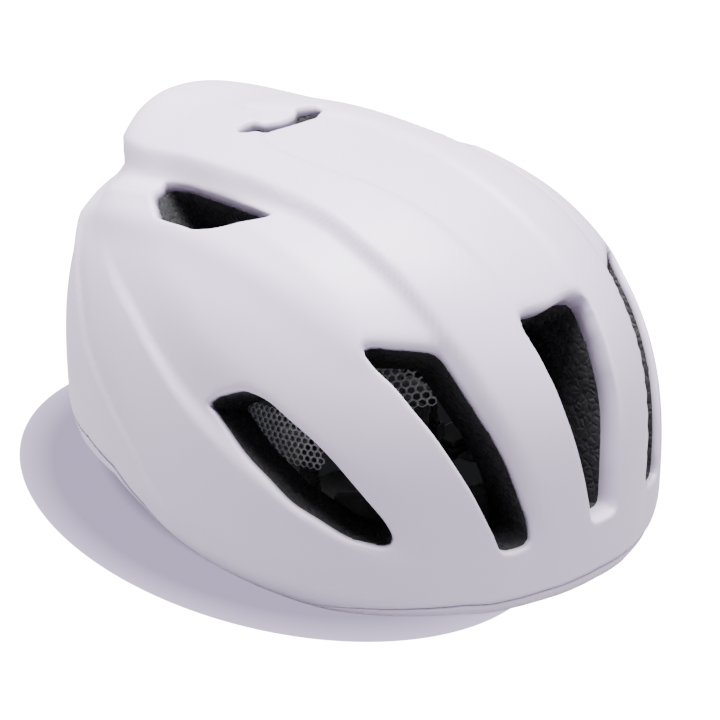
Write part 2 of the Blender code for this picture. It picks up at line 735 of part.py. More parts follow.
def make_height_guide():
    """Bracket on the foam above the dial pocket; the stem slides up and down through its slot."""
    depth = SEAT_GAP + 1.5 * FACET_GAP
    low = direction(pi, elevation_at(cavity_radius, pi, GUIDE_HEIGHT - 0.004, depth))
    high = direction(pi, elevation_at(cavity_radius, pi, GUIDE_HEIGHT + 0.004, depth))
    middle = (degrees(asin(low.z)) + degrees(asin(high.z))) / 2
    rise = degrees(asin(high.z)) - middle
    guide = patch("height_guide", around(180, middle, 6, rise, 0), 2, 2, depth, 0.0025, PLASTIC_BLACK)
    wall = rear_wall(GUIDE_HEIGHT + 0.0035)
    front = stem_line(GUIDE_HEIGHT, GUIDE_HEIGHT + 0.0035, -0.0026)[-1].y
    boolean(guide, tool(box(
        "guide_block", (-STEM_WIDTH / 2 - 0.0025, front, GUIDE_HEIGHT - 0.0035),
        (STEM_WIDTH / 2 + 0.0025, wall - depth - 0.0004, GUIDE_HEIGHT + 0.0035), None, 0, CUTTERS,
    )), "UNION")
    slot = ribbon("guide_slot", stem_line(GUIDE_HEIGHT - 0.01, GUIDE_HEIGHT + 0.01, STEM_THICKNESS / 2),
                  (1, 0, 0), STEM_WIDTH + 0.0012, STEM_THICKNESS + 0.0012, None, CUTTERS)
    boolean(guide, tool(slot))


# ---------------------------------------------------------------- webbing and buckle


def flat_ribbon(name, points, width, thickness, made_of):
    """Webbing that lies level across its run."""
    ahead = [points[min(i + 1, len(points) - 1)] - points[max(i - 1, 0)] for i in range(len(points))]
    across = [Vector((a.y, -a.x, 0)) for a in ahead]
    return ribbon(name, points, across, width, thickness, made_of)


def sleeve(name, points, width, thickness, wall, made_of):
    """Loop closed round webbing: a thicker ribbon along the same run with the webbing's room cut out."""
    piece = flat_ribbon(name, points[1:-1], width + 2 * wall, thickness + 2 * wall, made_of)
    room = tool(flat_ribbon(name + "_room", points, width + 0.0008, thickness + 0.0008, None))
    boolean(piece, room)
    return piece


def chin_run(side):
    """Slack chin webbing from the splitter up over a loop and down to the buckle."""
    out = side * (SPLITTER_OUT - SPLITTER_WIDTH / 2 - 2 * SEAT_GAP)
    near = side * (BUCKLE_LENGTH / 2 + 2 * SEAT_GAP)
    top = Vector(((out + near) / 2, 0, CHIN_LOOP_HEIGHT))
    bow = side * 0.006
    low = SPLITTER_HEIGHT
    rise = bezier((out, 0, low), (out - bow * 1.4, 0, low), top + Vector((bow * 1.1, 0, 0)), top, 8)
    fall = bezier(top, top - Vector((bow * 1.1, 0, 0)), (near + bow * 1.4, 0, BUCKLE_HEIGHT),
                  (near, 0, BUCKLE_HEIGHT), 8)
    return rise + fall[1:]


SPLITTER_HEIGHT = 0.001 + SPLITTER_THICKNESS / 2
BUCKLE_HEIGHT = 0.001 + BUCKLE_THICKNESS / 2


def make_anchor(name, azimuth, height):
    """Plate on the foam's inner wall that traps the end of the webbing."""
    depth = SEAT_GAP + FACET_GAP
    turn = radians(azimuth)
    low = direction(turn, elevation_at(cavity_radius, turn, height - 0.009, depth))
    high = direction(turn, elevation_at(cavity_radius, turn, height + 0.009, depth))
    middle = (asin(low.z) + asin(high.z)) / 2
    rise = degrees(asin(high.z) - middle)
    patch(name, around(azimuth, degrees(middle), 3.4, rise, 0), 1, 2, depth, ANCHOR_THICKNESS, PLASTIC_BLACK)


def make_straps(side_name, side):
    make_anchor(f"front_anchor_{side_name}", side * FRONT_ANCHOR_AZIMUTH, FRONT_ANCHOR_HEIGHT)
    turn = side * radians(FRONT_ANCHOR_AZIMUTH)
    way = direction(turn, elevation_at(cavity_radius, turn, FRONT_ANCHOR_HEIGHT))
    normal = surface_normal(cavity_radius, way)
    off_wall = 2 * SEAT_GAP + 2 * FACET_GAP + ANCHOR_THICKNESS + WEB_THICKNESS / 2
    start = surface_point(cavity_radius, way, off_wall)
    rearwards = Vector((-normal.y, normal.x, 0)).normalized() * side
    end = Vector((side * SPLITTER_OUT, -SPLITTER_LENGTH / 2 - SEAT_GAP, SPLITTER_HEIGHT))
    run = bezier(start - rearwards * 0.003, start + rearwards * 0.012, end - Vector((0, 0.012, 0)), end, 12)
    upwards = normal.cross(rearwards) * side
    across = []
    for i in range(len(run)):
        twist = pi / 2 * (1 - max(0, min(1, (i - 2) / 9)))
        across.append(Vector((side * cos(twist), 0, 0)) + upwards * sin(twist))
    ribbon(f"front_strap_{side_name}", run, across, WEB_WIDTH, WEB_THICKNESS, WEB_BLACK)

    turn = side * radians(REAR_ANCHOR_AZIMUTH)
    radial = Vector((sin(turn), -cos(turn), 0))
    wall = surface_point(cavity_radius, direction(turn, elevation_at(cavity_radius, turn, foam_rim(turn))))
    edge = surface_point(dome_radius, direction(turn, elevation_at(dome_radius, turn, rim_height(turn))))
    room = Vector((edge.x - wall.x, edge.y - wall.y, 0)).length - TRIM_LIP
    seat = Vector((wall.x, wall.y, 0)) + radial * room / 2
    low = min(foam_rim(turn + radians(t)) for t in (-7.5, 0, 7.5)) - SEAT_GAP
    plate = box(
        f"rear_anchor_{side_name}", (-0.0045, -0.009, -ANCHOR_THICKNESS), (0.0045, 0.009, 0), PLASTIC_BLACK, 0.0005
    )
    plate.data.transform(
        Matrix.Translation((seat.x, seat.y, low)) @ Matrix.Rotation(atan2(radial.y, radial.x), 4, "Z")
    )
    start = Vector((seat.x, seat.y, low - ANCHOR_THICKNESS - SEAT_GAP - WEB_THICKNESS / 2)) + radial * 0.003
    end = Vector((side * SPLITTER_OUT, SPLITTER_LENGTH / 2 + 2 * SEAT_GAP, SPLITTER_HEIGHT))
    run = bezier(start, start - radial * 0.026, end + Vector((0, 0.020, 0)), end, 12)
    run[-2] = Vector((end.x, run[-2].y, end.z))
    flat_ribbon(f"rear_strap_{side_name}", run, WEB_WIDTH, WEB_THICKNESS, WEB_BLACK)


def make_splitter(side_name, side):
    half_x, half_y = SPLITTER_WIDTH / 2, SPLITTER_LENGTH / 2
    centre = side * SPLITTER_OUT
    top = SPLITTER_HEIGHT + SPLITTER_THICKNESS / 2
    box(
        f"splitter_{side_name}", (centre - half_x, -half_y, SPLITTER_HEIGHT - SPLITTER_THICKNESS / 2),
        (centre + half_x, half_y, top), PLASTIC_BLACK, 0.0006,
    )
    hinge = centre + side * (half_x - 0.001)
    ends = sorted((hinge + side * LEVER_THICKNESS / 2, centre - side * half_x * 0.8))
    lever = box(
        f"splitter_lever_{side_name}", (ends[0], -half_y * 0.8, top + SEAT_GAP),
        (ends[1], half_y * 0.8, top + SEAT_GAP + LEVER_THICKNESS), PLASTIC_BLACK,
    )
    bevel(lever, LEVER_THICKNESS * 0.4, 2)
    set_origin(lever, (hinge, 0, top + SEAT_GAP + LEVER_THICKNESS / 2))


def make_chin_straps():
    runs = {}
    for side_name, side in (("right", -1), ("left", 1)):
        runs[side_name] = chin_run(side)
        flat_ribbon(f"chin_strap_{side_name}", runs[side_name], WEB_WIDTH, WEB_THICKNESS, WEB_BLACK)
    sleeve("strap_keeper", runs["left"][2:6], WEB_WIDTH, WEB_THICKNESS, 0.0013, RUBBER_GREY)
    sleeve("chin_pad", runs["left"][9:15], WEB_WIDTH, WEB_THICKNESS, 0.002, PAD_BLACK)


def make_buckle():
    half, width = BUCKLE_LENGTH / 2, BUCKLE_WIDTH / 2
    low, high = BUCKLE_HEIGHT - BUCKLE_THICKNESS / 2, BUCKLE_HEIGHT + BUCKLE_THICKNESS / 2
    mouth = -0.004
    socket = box("buckle_socket", (mouth, -width, low), (half, width, high), PLASTIC_BLACK, 0.001)
    room = width - BUCKLE_WALL * 1.5
    boolean(socket, tool(box(
        "socket_room", (mouth - 0.001, -room, low + BUCKLE_WALL),
        (mouth + PRONG_LENGTH + 0.002, room, high - BUCKLE_WALL), None, 0, CUTTERS,
    )))
    body_end = mouth - SEAT_GAP
    tongue = box("buckle_tongue", (-half, -width, low), (body_end, width, high), PLASTIC_BLACK, 0.001)
    prong_wide = room - FIT_GAP
    boolean(tongue, tool(box(
        "tongue_prong", (body_end - 0.003, -prong_wide, low + BUCKLE_WALL + FIT_GAP),
        (mouth + PRONG_LENGTH, prong_wide, high - BUCKLE_WALL - FIT_GAP), None, 0, CUTTERS,
    )), "UNION")
    boolean(tongue, tool(box(
        "prong_split", (mouth + 0.002, -prong_wide * 0.5, low), (mouth + PRONG_LENGTH + 0.002, prong_wide * 0.5, high),
        None, 0, CUTTERS,
    )))


make_cutters()
make_shell()
make_trim()
make_liner()
make_pads()
make_nets()
make_dial()
make_cradle()
make_height_guide()
make_chin_straps()
make_buckle()
for name_of_side, side_sign in (("right", -1), ("left", 1)):
    make_temple_anchor(name_of_side, side_sign)
    make_band(name_of_side, side_sign)
    make_straps(name_of_side, side_sign)
    make_splitter(name_of_side, side_sign)
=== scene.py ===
"""Looks of the road cycling helmet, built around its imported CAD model.

The shell, its edge strip and the foam share one surface, set out in millimetres as (azimuth,
elevation) in degrees about the dome's centre: azimuth 0 is the front, -90 the wearer's right.
"""

from math import cos, pi, radians, sin

import bmesh
import bpy
import numpy as np
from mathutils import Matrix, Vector


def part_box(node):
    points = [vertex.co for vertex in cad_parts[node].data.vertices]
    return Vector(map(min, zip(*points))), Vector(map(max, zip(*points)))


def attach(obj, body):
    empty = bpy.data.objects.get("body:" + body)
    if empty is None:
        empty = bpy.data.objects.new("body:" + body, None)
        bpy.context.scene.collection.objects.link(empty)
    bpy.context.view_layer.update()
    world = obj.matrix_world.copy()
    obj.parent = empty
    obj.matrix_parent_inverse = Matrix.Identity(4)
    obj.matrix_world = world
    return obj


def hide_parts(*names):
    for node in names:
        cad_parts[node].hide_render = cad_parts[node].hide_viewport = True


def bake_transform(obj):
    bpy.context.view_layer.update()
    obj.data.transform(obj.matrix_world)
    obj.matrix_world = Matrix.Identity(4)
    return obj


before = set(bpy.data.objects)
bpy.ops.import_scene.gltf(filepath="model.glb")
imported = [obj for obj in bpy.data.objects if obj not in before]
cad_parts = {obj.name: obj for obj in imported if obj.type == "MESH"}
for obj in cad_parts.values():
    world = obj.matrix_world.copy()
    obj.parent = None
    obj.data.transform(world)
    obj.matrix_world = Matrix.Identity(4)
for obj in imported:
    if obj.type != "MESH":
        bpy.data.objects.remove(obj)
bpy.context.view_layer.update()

bpy.ops.object.select_all(action="DESELECT")
MM = 0.001

# ---------------------------------------------------------------- surface of the dome, millimetres

HALF_WIDTH, FRONT_REACH, REAR_REACH, CROWN_HEIGHT = 100.0, 136.0, 151.0, 122.0
FRONT_POWER, SIDE_POWER, REAR_POWER, PLAN_POWER = 2.75, 2.6, 2.9, 2.07
CENTRE = np.array([0.0, 0.0, 33.0])
TUCK = 55.0
# (height, elevation, spread in degrees, sideways span) of the soft swellings on the centre line
TAIL_BUMP = (14.7, 44.6, 6.0, 0.31)
BROW_DIP = (-3.0, 40.0, 20.0, 0.7)
CROWN_BUMP = (3.0, 35.0, 13.5, 0.5)

RIM = [(0, 20.5), (12, 18.5), (20, 16), (24, 16.5), (32, 13.5), (42, 8.5), (50, 3.5), (59, 1.0), (70, 0.0),
       (80, 3), (91, 12), (100, 22), (112, 28), (126, 26), (142, 18), (160, 6), (180, 3)]
PINSTRIPE = [(0, 6.5), (42, 6), (59, 3.2), (72, 1.8), (95, 1.8), (105, 2.6), (120, 5), (140, 8), (180, 8)]

RIDGE = [(-159, 44), (-151.8, 49.4), (-141.8, 58), (-127.6, 64.7), (-106.8, 69.2), (-82.3, 69.7), (-71.3, 68.9),
         (-52.2, 64.9), (-39.8, 58.5), (-31.7, 51.8), (-27.5, 46.4), (-23.9, 40.9), (-20.6, 35.3), (-17.9, 28.5),
         (-15, 21), (-13, 15), (-11.5, 10), (-10, 4), (-9, -2)]
CREST = [(-156, 30), (-136, 42.4), (-120, 49.6), (-106, 53.2), (-89, 54.3), (-74, 52.8), (-61.5, 49.8),
         (-51.5, 45.7), (-45.8, 42.8), (-41, 40)]
FLANK = [(-133, 38.5), (-126, 37.4), (-118.5, 36.4), (-110, 35.1), (-102, 32.7), (-94.5, 29.9),
         (-88.5, 27.1), (-81, 23.8), (-75, 21.2), (-69, 18.4), (-62, 14.9), (-55, 11), (-47, 7.3), (-41, 5),
         (-35, 3.2), (-30, 2.2)]
HAUNCH = [(-156, 30), (-145, 28), (-135, 25), (-127, 20), (-119, 16.5), (-111, 12.5), (-103, 8),
          (-97, 2.5), (-90, -3), (-82, -8), (-76, -13)]
CHANNEL = [(-176, 62), (-168, 66), (-140, 72.5), (-80, 78), (-32, 71.5), (-19, 63), (-14, 55), (-10.8, 46.5),
           (-9.4, 41), (-8.2, 36), (-7.3, 31), (-6.5, 25.5), (-5.8, 20), (-5.6, 15), (-5.5, 9), (-5.5, 3)]

# Vent outlines on the wearer's right: (outline, corner radius of the lip, depth of the white wall)
VENTS = {
    "front_vent": ([(-13.6, 6.2), (-14.6, 5.3), (-18.5, 5.4), (-20.2, 9.1), (-23.2, 16), (-26.2, 21.6),
                    (-29, 26.2), (-32, 30.1), (-35.2, 34), (-38.8, 37.2), (-41, 39.9), (-39.5, 40.7),
                    (-34.8, 40.3), (-30.8, 39.8), (-27, 39), (-25.2, 37.7), (-22.8, 33.3), (-20.5, 28.6),
                    (-18, 23.4), (-16.2, 18.6), (-14.8, 13.7), (-13.8, 10)], 1.3, 2.4),
    "temple_vent": ([(-78.2, 27.5), (-75.7, 26), (-72, 23.4), (-66.5, 19.5), (-60.8, 16), (-55, 12.1),
                     (-49.2, 9.5), (-44.2, 7.2), (-40.2, 6.4), (-37, 6.3), (-35.8, 7.8), (-37.2, 11),
                     (-40.2, 14.7), (-43.8, 18.8), (-47, 22.1), (-51, 25.3), (-56.2, 28.4), (-61.2, 31),
                     (-65.8, 32), (-68.8, 32), (-73, 30.7), (-76.2, 29.4)], 1.3, 2.4),
    "rear_vent": ([(-140.5, 51.8), (-135.5, 56.4), (-123.9, 61.2), (-105.7, 64.9), (-90, 65.6), (-83.5, 65),
                   (-85.5, 62.6), (-90, 60.3), (-96.7, 57.2), (-103, 54.9), (-107.7, 54), (-118.4, 51.3),
                   (-122.5, 51.3), (-131, 51.4)], 1.2, 4.0),
    "brow_slot": ([(-8.6, 40.6), (-7.8, 34), (-6.8, 29.4), (-6, 24.7), (-4.9, 19.3), (-3.9, 14.3), (-3.3, 10.4),
                   (-2.6, 6.9), (0, 6.5), (2.6, 6.9), (3.3, 10.4), (3.9, 14.3), (4.9, 19.3), (6, 24.7),
                   (6.8, 29.4), (7.8, 34), (8.6, 40.6), (0, 41)], 1.6, 8.5),
    "tail_slot": ([(-156.5, 65.6), (-158, 68.3), (-164, 69.6), (-172, 70.6), (-180, 71), (172, 70.6),
                   (164, 69.6), (158, 68.3), (156.5, 65.6), (166, 66), (173, 68), (180, 68.8), (-173, 68),
                   (-166, 66)], 1.2, 3.5),
}


def smooth(x):
    x = np.clip(x, 0, 1)
    return x * x * (3 - 2 * x)


def wrap(angle):
    return (angle + pi) % (2 * pi) - pi


def swelling(bump, aside, above):
    height, at, spread, span = bump
    return height * np.exp(-((aside / span) ** 2) - ((above - radians(at)) / radians(spread)) ** 2)


def base_radius(a, e):
    """Distance from the centre to the plain dome."""
    c, s = np.cos(a), np.sin(a)
    reach = np.where(c > 0, FRONT_REACH, REAR_REACH)
    plan = 1 / ((np.abs(c) / reach) ** PLAN_POWER + (np.abs(s) / HALF_WIDTH) ** PLAN_POWER) ** (1 / PLAN_POWER)
    front, rear = np.where(c > 0, c * c, 0), np.where(c < 0, c * c, 0)
    power = FRONT_POWER * front + REAR_POWER * rear + SIDE_POWER * (1 - front - rear)
    level, up = np.cos(e), np.sin(e)
    over = 1 / ((level / plan) ** power + (np.abs(up) / CROWN_HEIGHT) ** power) ** (1 / power)
    under = 1 / np.sqrt((level / plan) ** 2 + (up / TUCK) ** 2)
    radius = np.where(up > 0, over, under)
    radius = radius + swelling(TAIL_BUMP, wrap(a - pi) * level, e) + swelling(BROW_DIP, wrap(a) * level, e)
    return radius + swelling(CROWN_BUMP, s * level, np.arctan2(-c * level, np.abs(up) + 1e-9))


def heading(a, e):
    return np.stack([np.cos(e) * np.sin(a), -np.cos(e) * np.cos(a), np.sin(e)], -1)


def base_point(a, e):
    return CENTRE + base_radius(a, e)[..., None] * heading(a, e)


def spline(points, closed=False, step=2.0):
    """Catmull-Rom curve through (azimuth, elevation) points laid on the plain dome."""
    q = base_point(*np.radians(np.array(points, float)).T)
    q = np.vstack([q[-1:], q, q[:2]]) if closed else np.vstack([2 * q[0] - q[1], q, 2 * q[-1] - q[-2]])
    runs = []
    for i in range(1, len(q) - 2):
        count = max(2, int(np.linalg.norm(q[i + 1] - q[i]) / step))
        t = (np.arange(count) / count)[:, None]
        p0, p1, p2, p3 = q[i - 1 : i + 3]
        runs.append(0.5 * (2 * p1 + (p2 - p0) * t + (2 * p0 - 5 * p1 + 4 * p2 - p3) * t * t
                           + (3 * p1 - p0 - 3 * p2 + p3) * t**3))
    if not closed:
        runs.append(q[-2:-1])
    return np.vstack(runs)


def nearest(points, line, closed=False):
    """Distance to a line on the dome, share of the way along it, and which side (+1 or -1)."""
    start, end = line, np.roll(line, -1, 0)
    if not closed:
        start, end = start[:-1], end[:-1]
    run = end - start
    length = np.linalg.norm(run, axis=1)
    before = np.concatenate([[0], np.cumsum(length)])
    best, along, side = np.full(len(points), 1e9), np.zeros(len(points)), np.zeros(len(points))
    up = points - CENTRE
    for i in range(len(start)):
        offset = points - start[i]
        t = np.clip(offset @ run[i] / length[i] ** 2, 0, 1)
        gap = offset - t[:, None] * run[i]
        away = np.linalg.norm(gap, axis=1)
        k = away < best
        best[k] = away[k]
        along[k] = (before[i] + t[k] * length[i]) / before[-1]
        side[k] = np.einsum("ij,ij->i", np.cross(np.broadcast_to(run[i], gap[k].shape), gap[k]), up[k])
    return best, along, np.sign(side)


def fall(s, height, width, recovery):
    """Level where s is positive, dropping by height over width and climbing back over recovery."""
    share = np.clip(-s / width, 0, 1)
    drop = 0.45 * smooth(share) + 0.55 * np.sin(share * pi / 2)
    return -height * drop * (1 - smooth((-s - width) / recovery))


def relief(a, e):
    """Ridges and hollows over the plain dome, the same on both sides."""
    points = base_point(-np.abs(wrap(a)), e)
    d, t, side = nearest(points, spline(RIDGE))
    height = np.interp(t, [0, .06, .2, .34, .5, .65, .72, .85, 1], [5, 7.5, 8, 5, 3.4, 2.6, 3.2, 3, .2])
    width = np.interp(t, [0, .25, .36, .55, .63, .72, 1], [9, 10, 6, 4.4, 4, 5.5, 6])
    recovery = np.interp(t, [0, .3, .45, .6, 1], [14, 14, 18, 22, 14])
    lift = fall(d * side, height, width, recovery)
    d, t, side = nearest(points, spline(FLANK))
    height = np.interp(t, [0, .12, .45, .8, 1], [0, 1.3, 2.6, 3.0, 0])
    lift += fall(-d * side, height, np.interp(t, [0, .3, .5, 1], [3, 4, 7, 8]), 26)
    d, t, side = nearest(points, spline(HAUNCH))
    lift += fall(-d * side, np.interp(t, [0, .15, .8, 1], [0, 1.1, .8, 0]), 1.8, 14)
    d, t, side = nearest(points, spline(CHANNEL))
    lift -= np.interp(t, [0, .1, .8, 1], [1.2, 2.0, 1.6, 0]) * smooth(d * side / 4.5)
    d, t, side = nearest(points, spline(CREST))
    lift += np.interp(t, [0, .1, .6, 1], [1.0, 1.6, 1.4, .8]) * np.exp(-((d / 7.0) ** 2))
    behind, turned = np.degrees(np.abs(wrap(a - pi))), np.degrees(e)
    neck = np.exp(-(((turned - 37) / 5.0) ** 2)) - 0.45 * np.exp(-(((turned - 28.5) / 2.2) ** 2))
    return lift - 4.0 * neck * (1 - smooth((behind - 22) / 22))


def read_round(table, a):
    degrees, values = np.array(table, float).T
    return np.interp(np.degrees(np.abs(wrap(a))), degrees, values)


def elevation_of(a, height):
    """Elevation at which the plain dome is at a height above the ground."""
    low, high = np.full(a.shape, radians(-45)), np.full(a.shape, radians(30))
    for _ in range(30):
        middle = (low + high) / 2
        above = CENTRE[2] + base_radius(a, middle) * np.sin(middle) > height
        high, low = np.where(above, middle, high), np.where(above, low, middle)
    return high


# ---------------------------------------------------------------- meshes cut along the vents


def chart(a, e):
    return np.stack([(pi / 2 - e) * np.sin(a), (pi / 2 - e) * np.cos(a)], -1)


def within(q, outline):
    x, y = q[..., 0], q[..., 1]
    found = np.zeros(x.shape, bool)
    for (x1, y1), (x2, y2) in zip(outline, np.roll(outline, -1, 0)):
        found ^= ((y1 > y) != (y2 > y)) & (x < (x2 - x1) * (y - y1) / (y2 - y1 + 1e-12) + x1)
    return found


def to_angles(points):
    way = (points - CENTRE) / np.linalg.norm(points - CENTRE, axis=-1, keepdims=True)
    return np.arctan2(way[..., 0], -way[..., 1]), np.arcsin(way[..., 2])


OUTLINES = {name: spline(outline, closed=True, step=1.2) for name, (outline, _, _) in VENTS.items()}


def vent_distance(a, e):
    """Signed distance to the nearest vent's outline, positive on the shell, and that vent's number."""
    points = base_point(a, e)
    spot = chart(a, e)
    best, which = np.full(len(points), 1e9), np.zeros(len(points), int)
    for number, line in enumerate(OUTLINES.values()):
        away = nearest(points, line, closed=True)[0]
        away = np.where(within(spot, chart(*to_angles(line))), -away, away)
        k = away < best
        best[k], which[k] = away[k], number
    return best, which


class Net:
    """Triangles over (azimuth, elevation), split along level lines of a distance."""

    def __init__(self, a, e, triangles, level):
        self.a, self.e, self.triangles, self.level = a, e, triangles, level

    def split(self, at, keep_low=True, merge=0.12):
        """Adds points where the distance crosses a value, and may drop what lies below it."""
        value = self.level - at
        value[np.abs(value) < merge] = 0
        tri = self.triangles
        signs = np.sign(value)[tri]
        crossing = (signs.min(1) < 0) & (signs.max(1) > 0)
        edges = {}
        a, e, level = list(self.a), list(self.e), list(self.level)

        def cut(i, j):
            key = (i, j) if i < j else (j, i)
            if key not in edges:
                t = value[key[0]] / (value[key[0]] - value[key[1]])
                edges[key] = len(a)
                for column in (a, e, level):
                    column.append(column[key[0]] * (1 - t) + column[key[1]] * t)
                level[-1] = at
            return edges[key]

        made = []
        for one in tri[crossing]:
            low = [v for v in one if value[v] < 0]
            high = [v for v in one if value[v] > 0]
            while True:
                if (value[one[0]] > 0) == (len(high) == 1) and value[one[0]] != 0 and (len(low) + len(high) == 3):
                    break
                if len(low) + len(high) == 2 and value[one[0]] == 0:
                    break
                one = np.roll(one, 1)
            p, q, r = one
            if len(low) + len(high) == 2:
                middle = cut(q, r)
                made += [(p, q, middle), (p, middle, r)]
            else:
                first, second = cut(p, q), cut(p, r)
                made += [(p, first, second), (first, q, r), (first, r, second)]
        self.triangles = np.vstack([tri[~crossing], np.array(made, int).reshape(-1, 3)])
        self.a, self.e, self.level = np.array(a), np.array(e), np.array(level)
        if not keep_low:
            below = self.level - at
            below[np.abs(below) < merge] = 0
            self.triangles = self.triangles[below[self.triangles].max(1) > 0]
        return self

    def tidy(self):
        used, inverse = np.unique(self.triangles, return_inverse=True)
        self.triangles = inverse.reshape(-1, 3)
        self.a, self.e, self.level = self.a[used], self.e[used], self.level[used]
        return self

    def border(self):
        """Edges with one face, in the direction that face runs."""
        t = self.triangles
        runs = np.vstack([t[:, [0, 1]], t[:, [1, 2]], t[:, [2, 0]]])
        keys = np.sort(runs, 1)
        _, first, counts = np.unique(keys, axis=0, return_index=True, return_counts=True)
        return runs[first[counts == 1]]


def half_net(columns, rows, low, rings):
    """The wearer's right half of the dome from the low edge up, cut along the vents."""
    a = np.linspace(-pi, 0, columns)
    bottom = elevation_of(a, low(a))
    t = np.linspace(0, 1, rows)[:, None]
    e = bottom + (pi / 2 - bottom) * t
    a = np.broadcast_to(a, e.shape)
    i, j = np.meshgrid(np.arange(rows - 1), np.arange(columns - 1), indexing="ij")
    corner = (i * columns + j).ravel()
    quads = np.stack([corner, corner + 1, corner + columns + 1, corner + columns], -1)
    triangles = np.vstack([quads[:, [0, 1, 2]], quads[:, [0, 2, 3]]])
    net = Net(a.ravel().copy(), e.ravel().copy(), triangles, None)
    net.level = np.minimum(vent_distance(net.a, net.e)[0], 30)
    net.split(0, keep_low=False)
    for ring in rings:
        net.split(ring)
    return net.tidy()


def full_mesh(name, vertices, faces):
    """One mesh from the right half and its mirror image, in metres, sewn together."""
    count = len(vertices)
    both = np.vstack([vertices, vertices * [-1, 1, 1]]) * MM
    mesh = bpy.data.meshes.new(name)
    turned = [tuple(reversed([v + count for v in face])) for face in faces]
    mesh.from_pydata(both.tolist(), [], [tuple(face) for face in faces] + turned)
    piece = bpy.data.objects.new(name, mesh)
    bpy.context.scene.collection.objects.link(piece)
    bm = bmesh.new()
    bm.from_mesh(mesh)
    bmesh.ops.remove_doubles(bm, verts=bm.verts, dist=0.00003)
    if bm.calc_volume(signed=True) < 0:
        bmesh.ops.reverse_faces(bm, faces=bm.faces)
    bm.to_mesh(mesh)
    bm.free()
    mesh.shade_smooth()
    return piece


LIP = np.array([radius for _, radius, _ in VENTS.values()])
WALL = np.array([depth for _, _, depth in VENTS.values()])
SKIN = 1.2
BEVEL = np.array([1.6, 0.9, 0.6, 0.8, 1.6])


def outward(net, which):
    """For each border point of a vent, the direction along the surface away from the opening."""
    h = 0.004
    base = base_point(net.a, net.e)
    gradient = np.zeros((len(net.a), 3))
    for da, de in ((h, 0), (0, h)):
        step = base_point(net.a + da, net.e + de) - base
        change = (vent_distance(net.a + da, net.e + de)[0] - vent_distance(net.a - da, net.e - de)[0]) / 2
        gradient += change[:, None] * step / np.einsum("ij,ij->i", step, step)[:, None]
    size = np.linalg.norm(gradient, axis=1, keepdims=True)
    return gradient / np.maximum(size, 1e-6)


def shell_surface(net):
    """Outer surface with relief, rolled in at the vents: wide on the uphill side, tight below."""
    distance, which = net.level, vent_distance(net.a, net.e)[1]
    near = distance < 12
    uphill = np.zeros(len(distance))
    part = Net(net.a[near], net.e[near], None, None)
    way, points = outward(part, which), base_point(part.a, part.e)
    back = base_point(part.a * 0.9, part.e + 0.12) - points
    back /= np.linalg.norm(back, axis=1, keepdims=True)
    uphill[near] = smooth(np.einsum("ij,ij->i", way, back) * 1.3 - 0.1)
    drop = LIP[which] * (0.7 + BEVEL[which] * uphill)
    reach = drop * 1.7
    roll = np.where(distance < reach, drop * (1 - np.sqrt(np.clip(1 - (1 - distance / reach) ** 2, 0, 1))), 0)
    radius = base_radius(net.a, net.e) + relief(net.a, net.e) - roll
    return radius, which


def rim_line(a):
    return read_round(RIM, a)


def pin_line(a):
    return read_round(RIM, a) + read_round(PINSTRIPE, a)


def layered(net, layers, closed=True):
    """Faces of a solid whose first and last layers are full sheets and the rest are rings along the border."""
    count = len(net.a)
    border = net.border()
    on_seam = (np.abs(np.sin(net.a)) < 1e-9)
    at_crown = net.e > pi / 2 - 1e-6
    keep = ~(on_seam[border].all(1) & ((net.a[border[:, 0]] == net.a[border[:, 1]]))) & ~at_crown[border].all(1)
    border = border[keep]
    faces = [tuple(t) for t in net.triangles]
    last = (len(layers) - 1) * count
    faces += [tuple(t[::-1] + last) for t in net.triangles]
    for k in range(len(layers) - 1):
        for i, j in border:
            faces.append((j + k * count, i + k * count, i + (k + 1) * count, j + (k + 1) * count))
    vertices = np.vstack(layers)
    used, inverse = np.unique(np.concatenate([np.array(f) for f in faces]), return_inverse=True)
    sizes = np.cumsum([len(f) for f in faces])[:-1]
    return vertices[used], [tuple(int(v) for v in f) for f in np.split(inverse, sizes)]


def make_shell(net, radius, which):
    way = heading(net.a, net.e)
    edge = elevation_of(net.a, pin_line(net.a) + 0.4)
    low = smooth(1 - (net.e - edge) / radians(0.8))
    outer = CENTRE + (radius - 0.5 * low)[:, None] * way
    at_vent = net.level < 0.2
    aside = np.where(at_vent[:, None], outward(net, which), 0)
    wall = np.where(at_vent, WALL[which], 0)[:, None]
    lower = outer - wall * way
    lowest = lower + aside * 0.8
    inner = CENTRE + (radius - SKIN - 0.3)[:, None] * way + aside * 0.8
    return full_mesh("helmet_shell", *layered(net, [outer, lower, lowest, inner]))


# Foam cavity, as in the CAD model
CAVITY_FRONT, CAVITY_REAR, CAVITY_HALF, CAVITY_HEIGHT, CAVITY_TUCK, CAVITY_POWER = 106.0, 111.0, 76.0, 95.0, 75.0, 2.2
FOAM_BASE = 1.8
# Half width, rear wall and top of the recess that the dial and its cover sit in
POCKET_HALF, POCKET_REAR, POCKET_TOP = 26.0, 115.4, 64.0


def cavity_radius(a, e):
    c, s = np.cos(a), np.sin(a)
    reach = np.where(c > 0, CAVITY_FRONT, CAVITY_REAR)
    plan = 1 / np.sqrt((c / reach) ** 2 + (s / CAVITY_HALF) ** 2)
    level, up = np.cos(e), np.sin(e)
    over = 1 / ((level / plan) ** CAVITY_POWER + (np.abs(up) / CAVITY_HEIGHT) ** CAVITY_POWER) ** (1 / CAVITY_POWER)
    under = 1 / np.sqrt((level / plan) ** 2 + (up / CAVITY_TUCK) ** 2)
    return np.where(up > 0, over, under)


def cavity_point(a, e, depth=0.0):
    return CENTRE + (cavity_radius(a, e) - depth)[..., None] * heading(a, e)


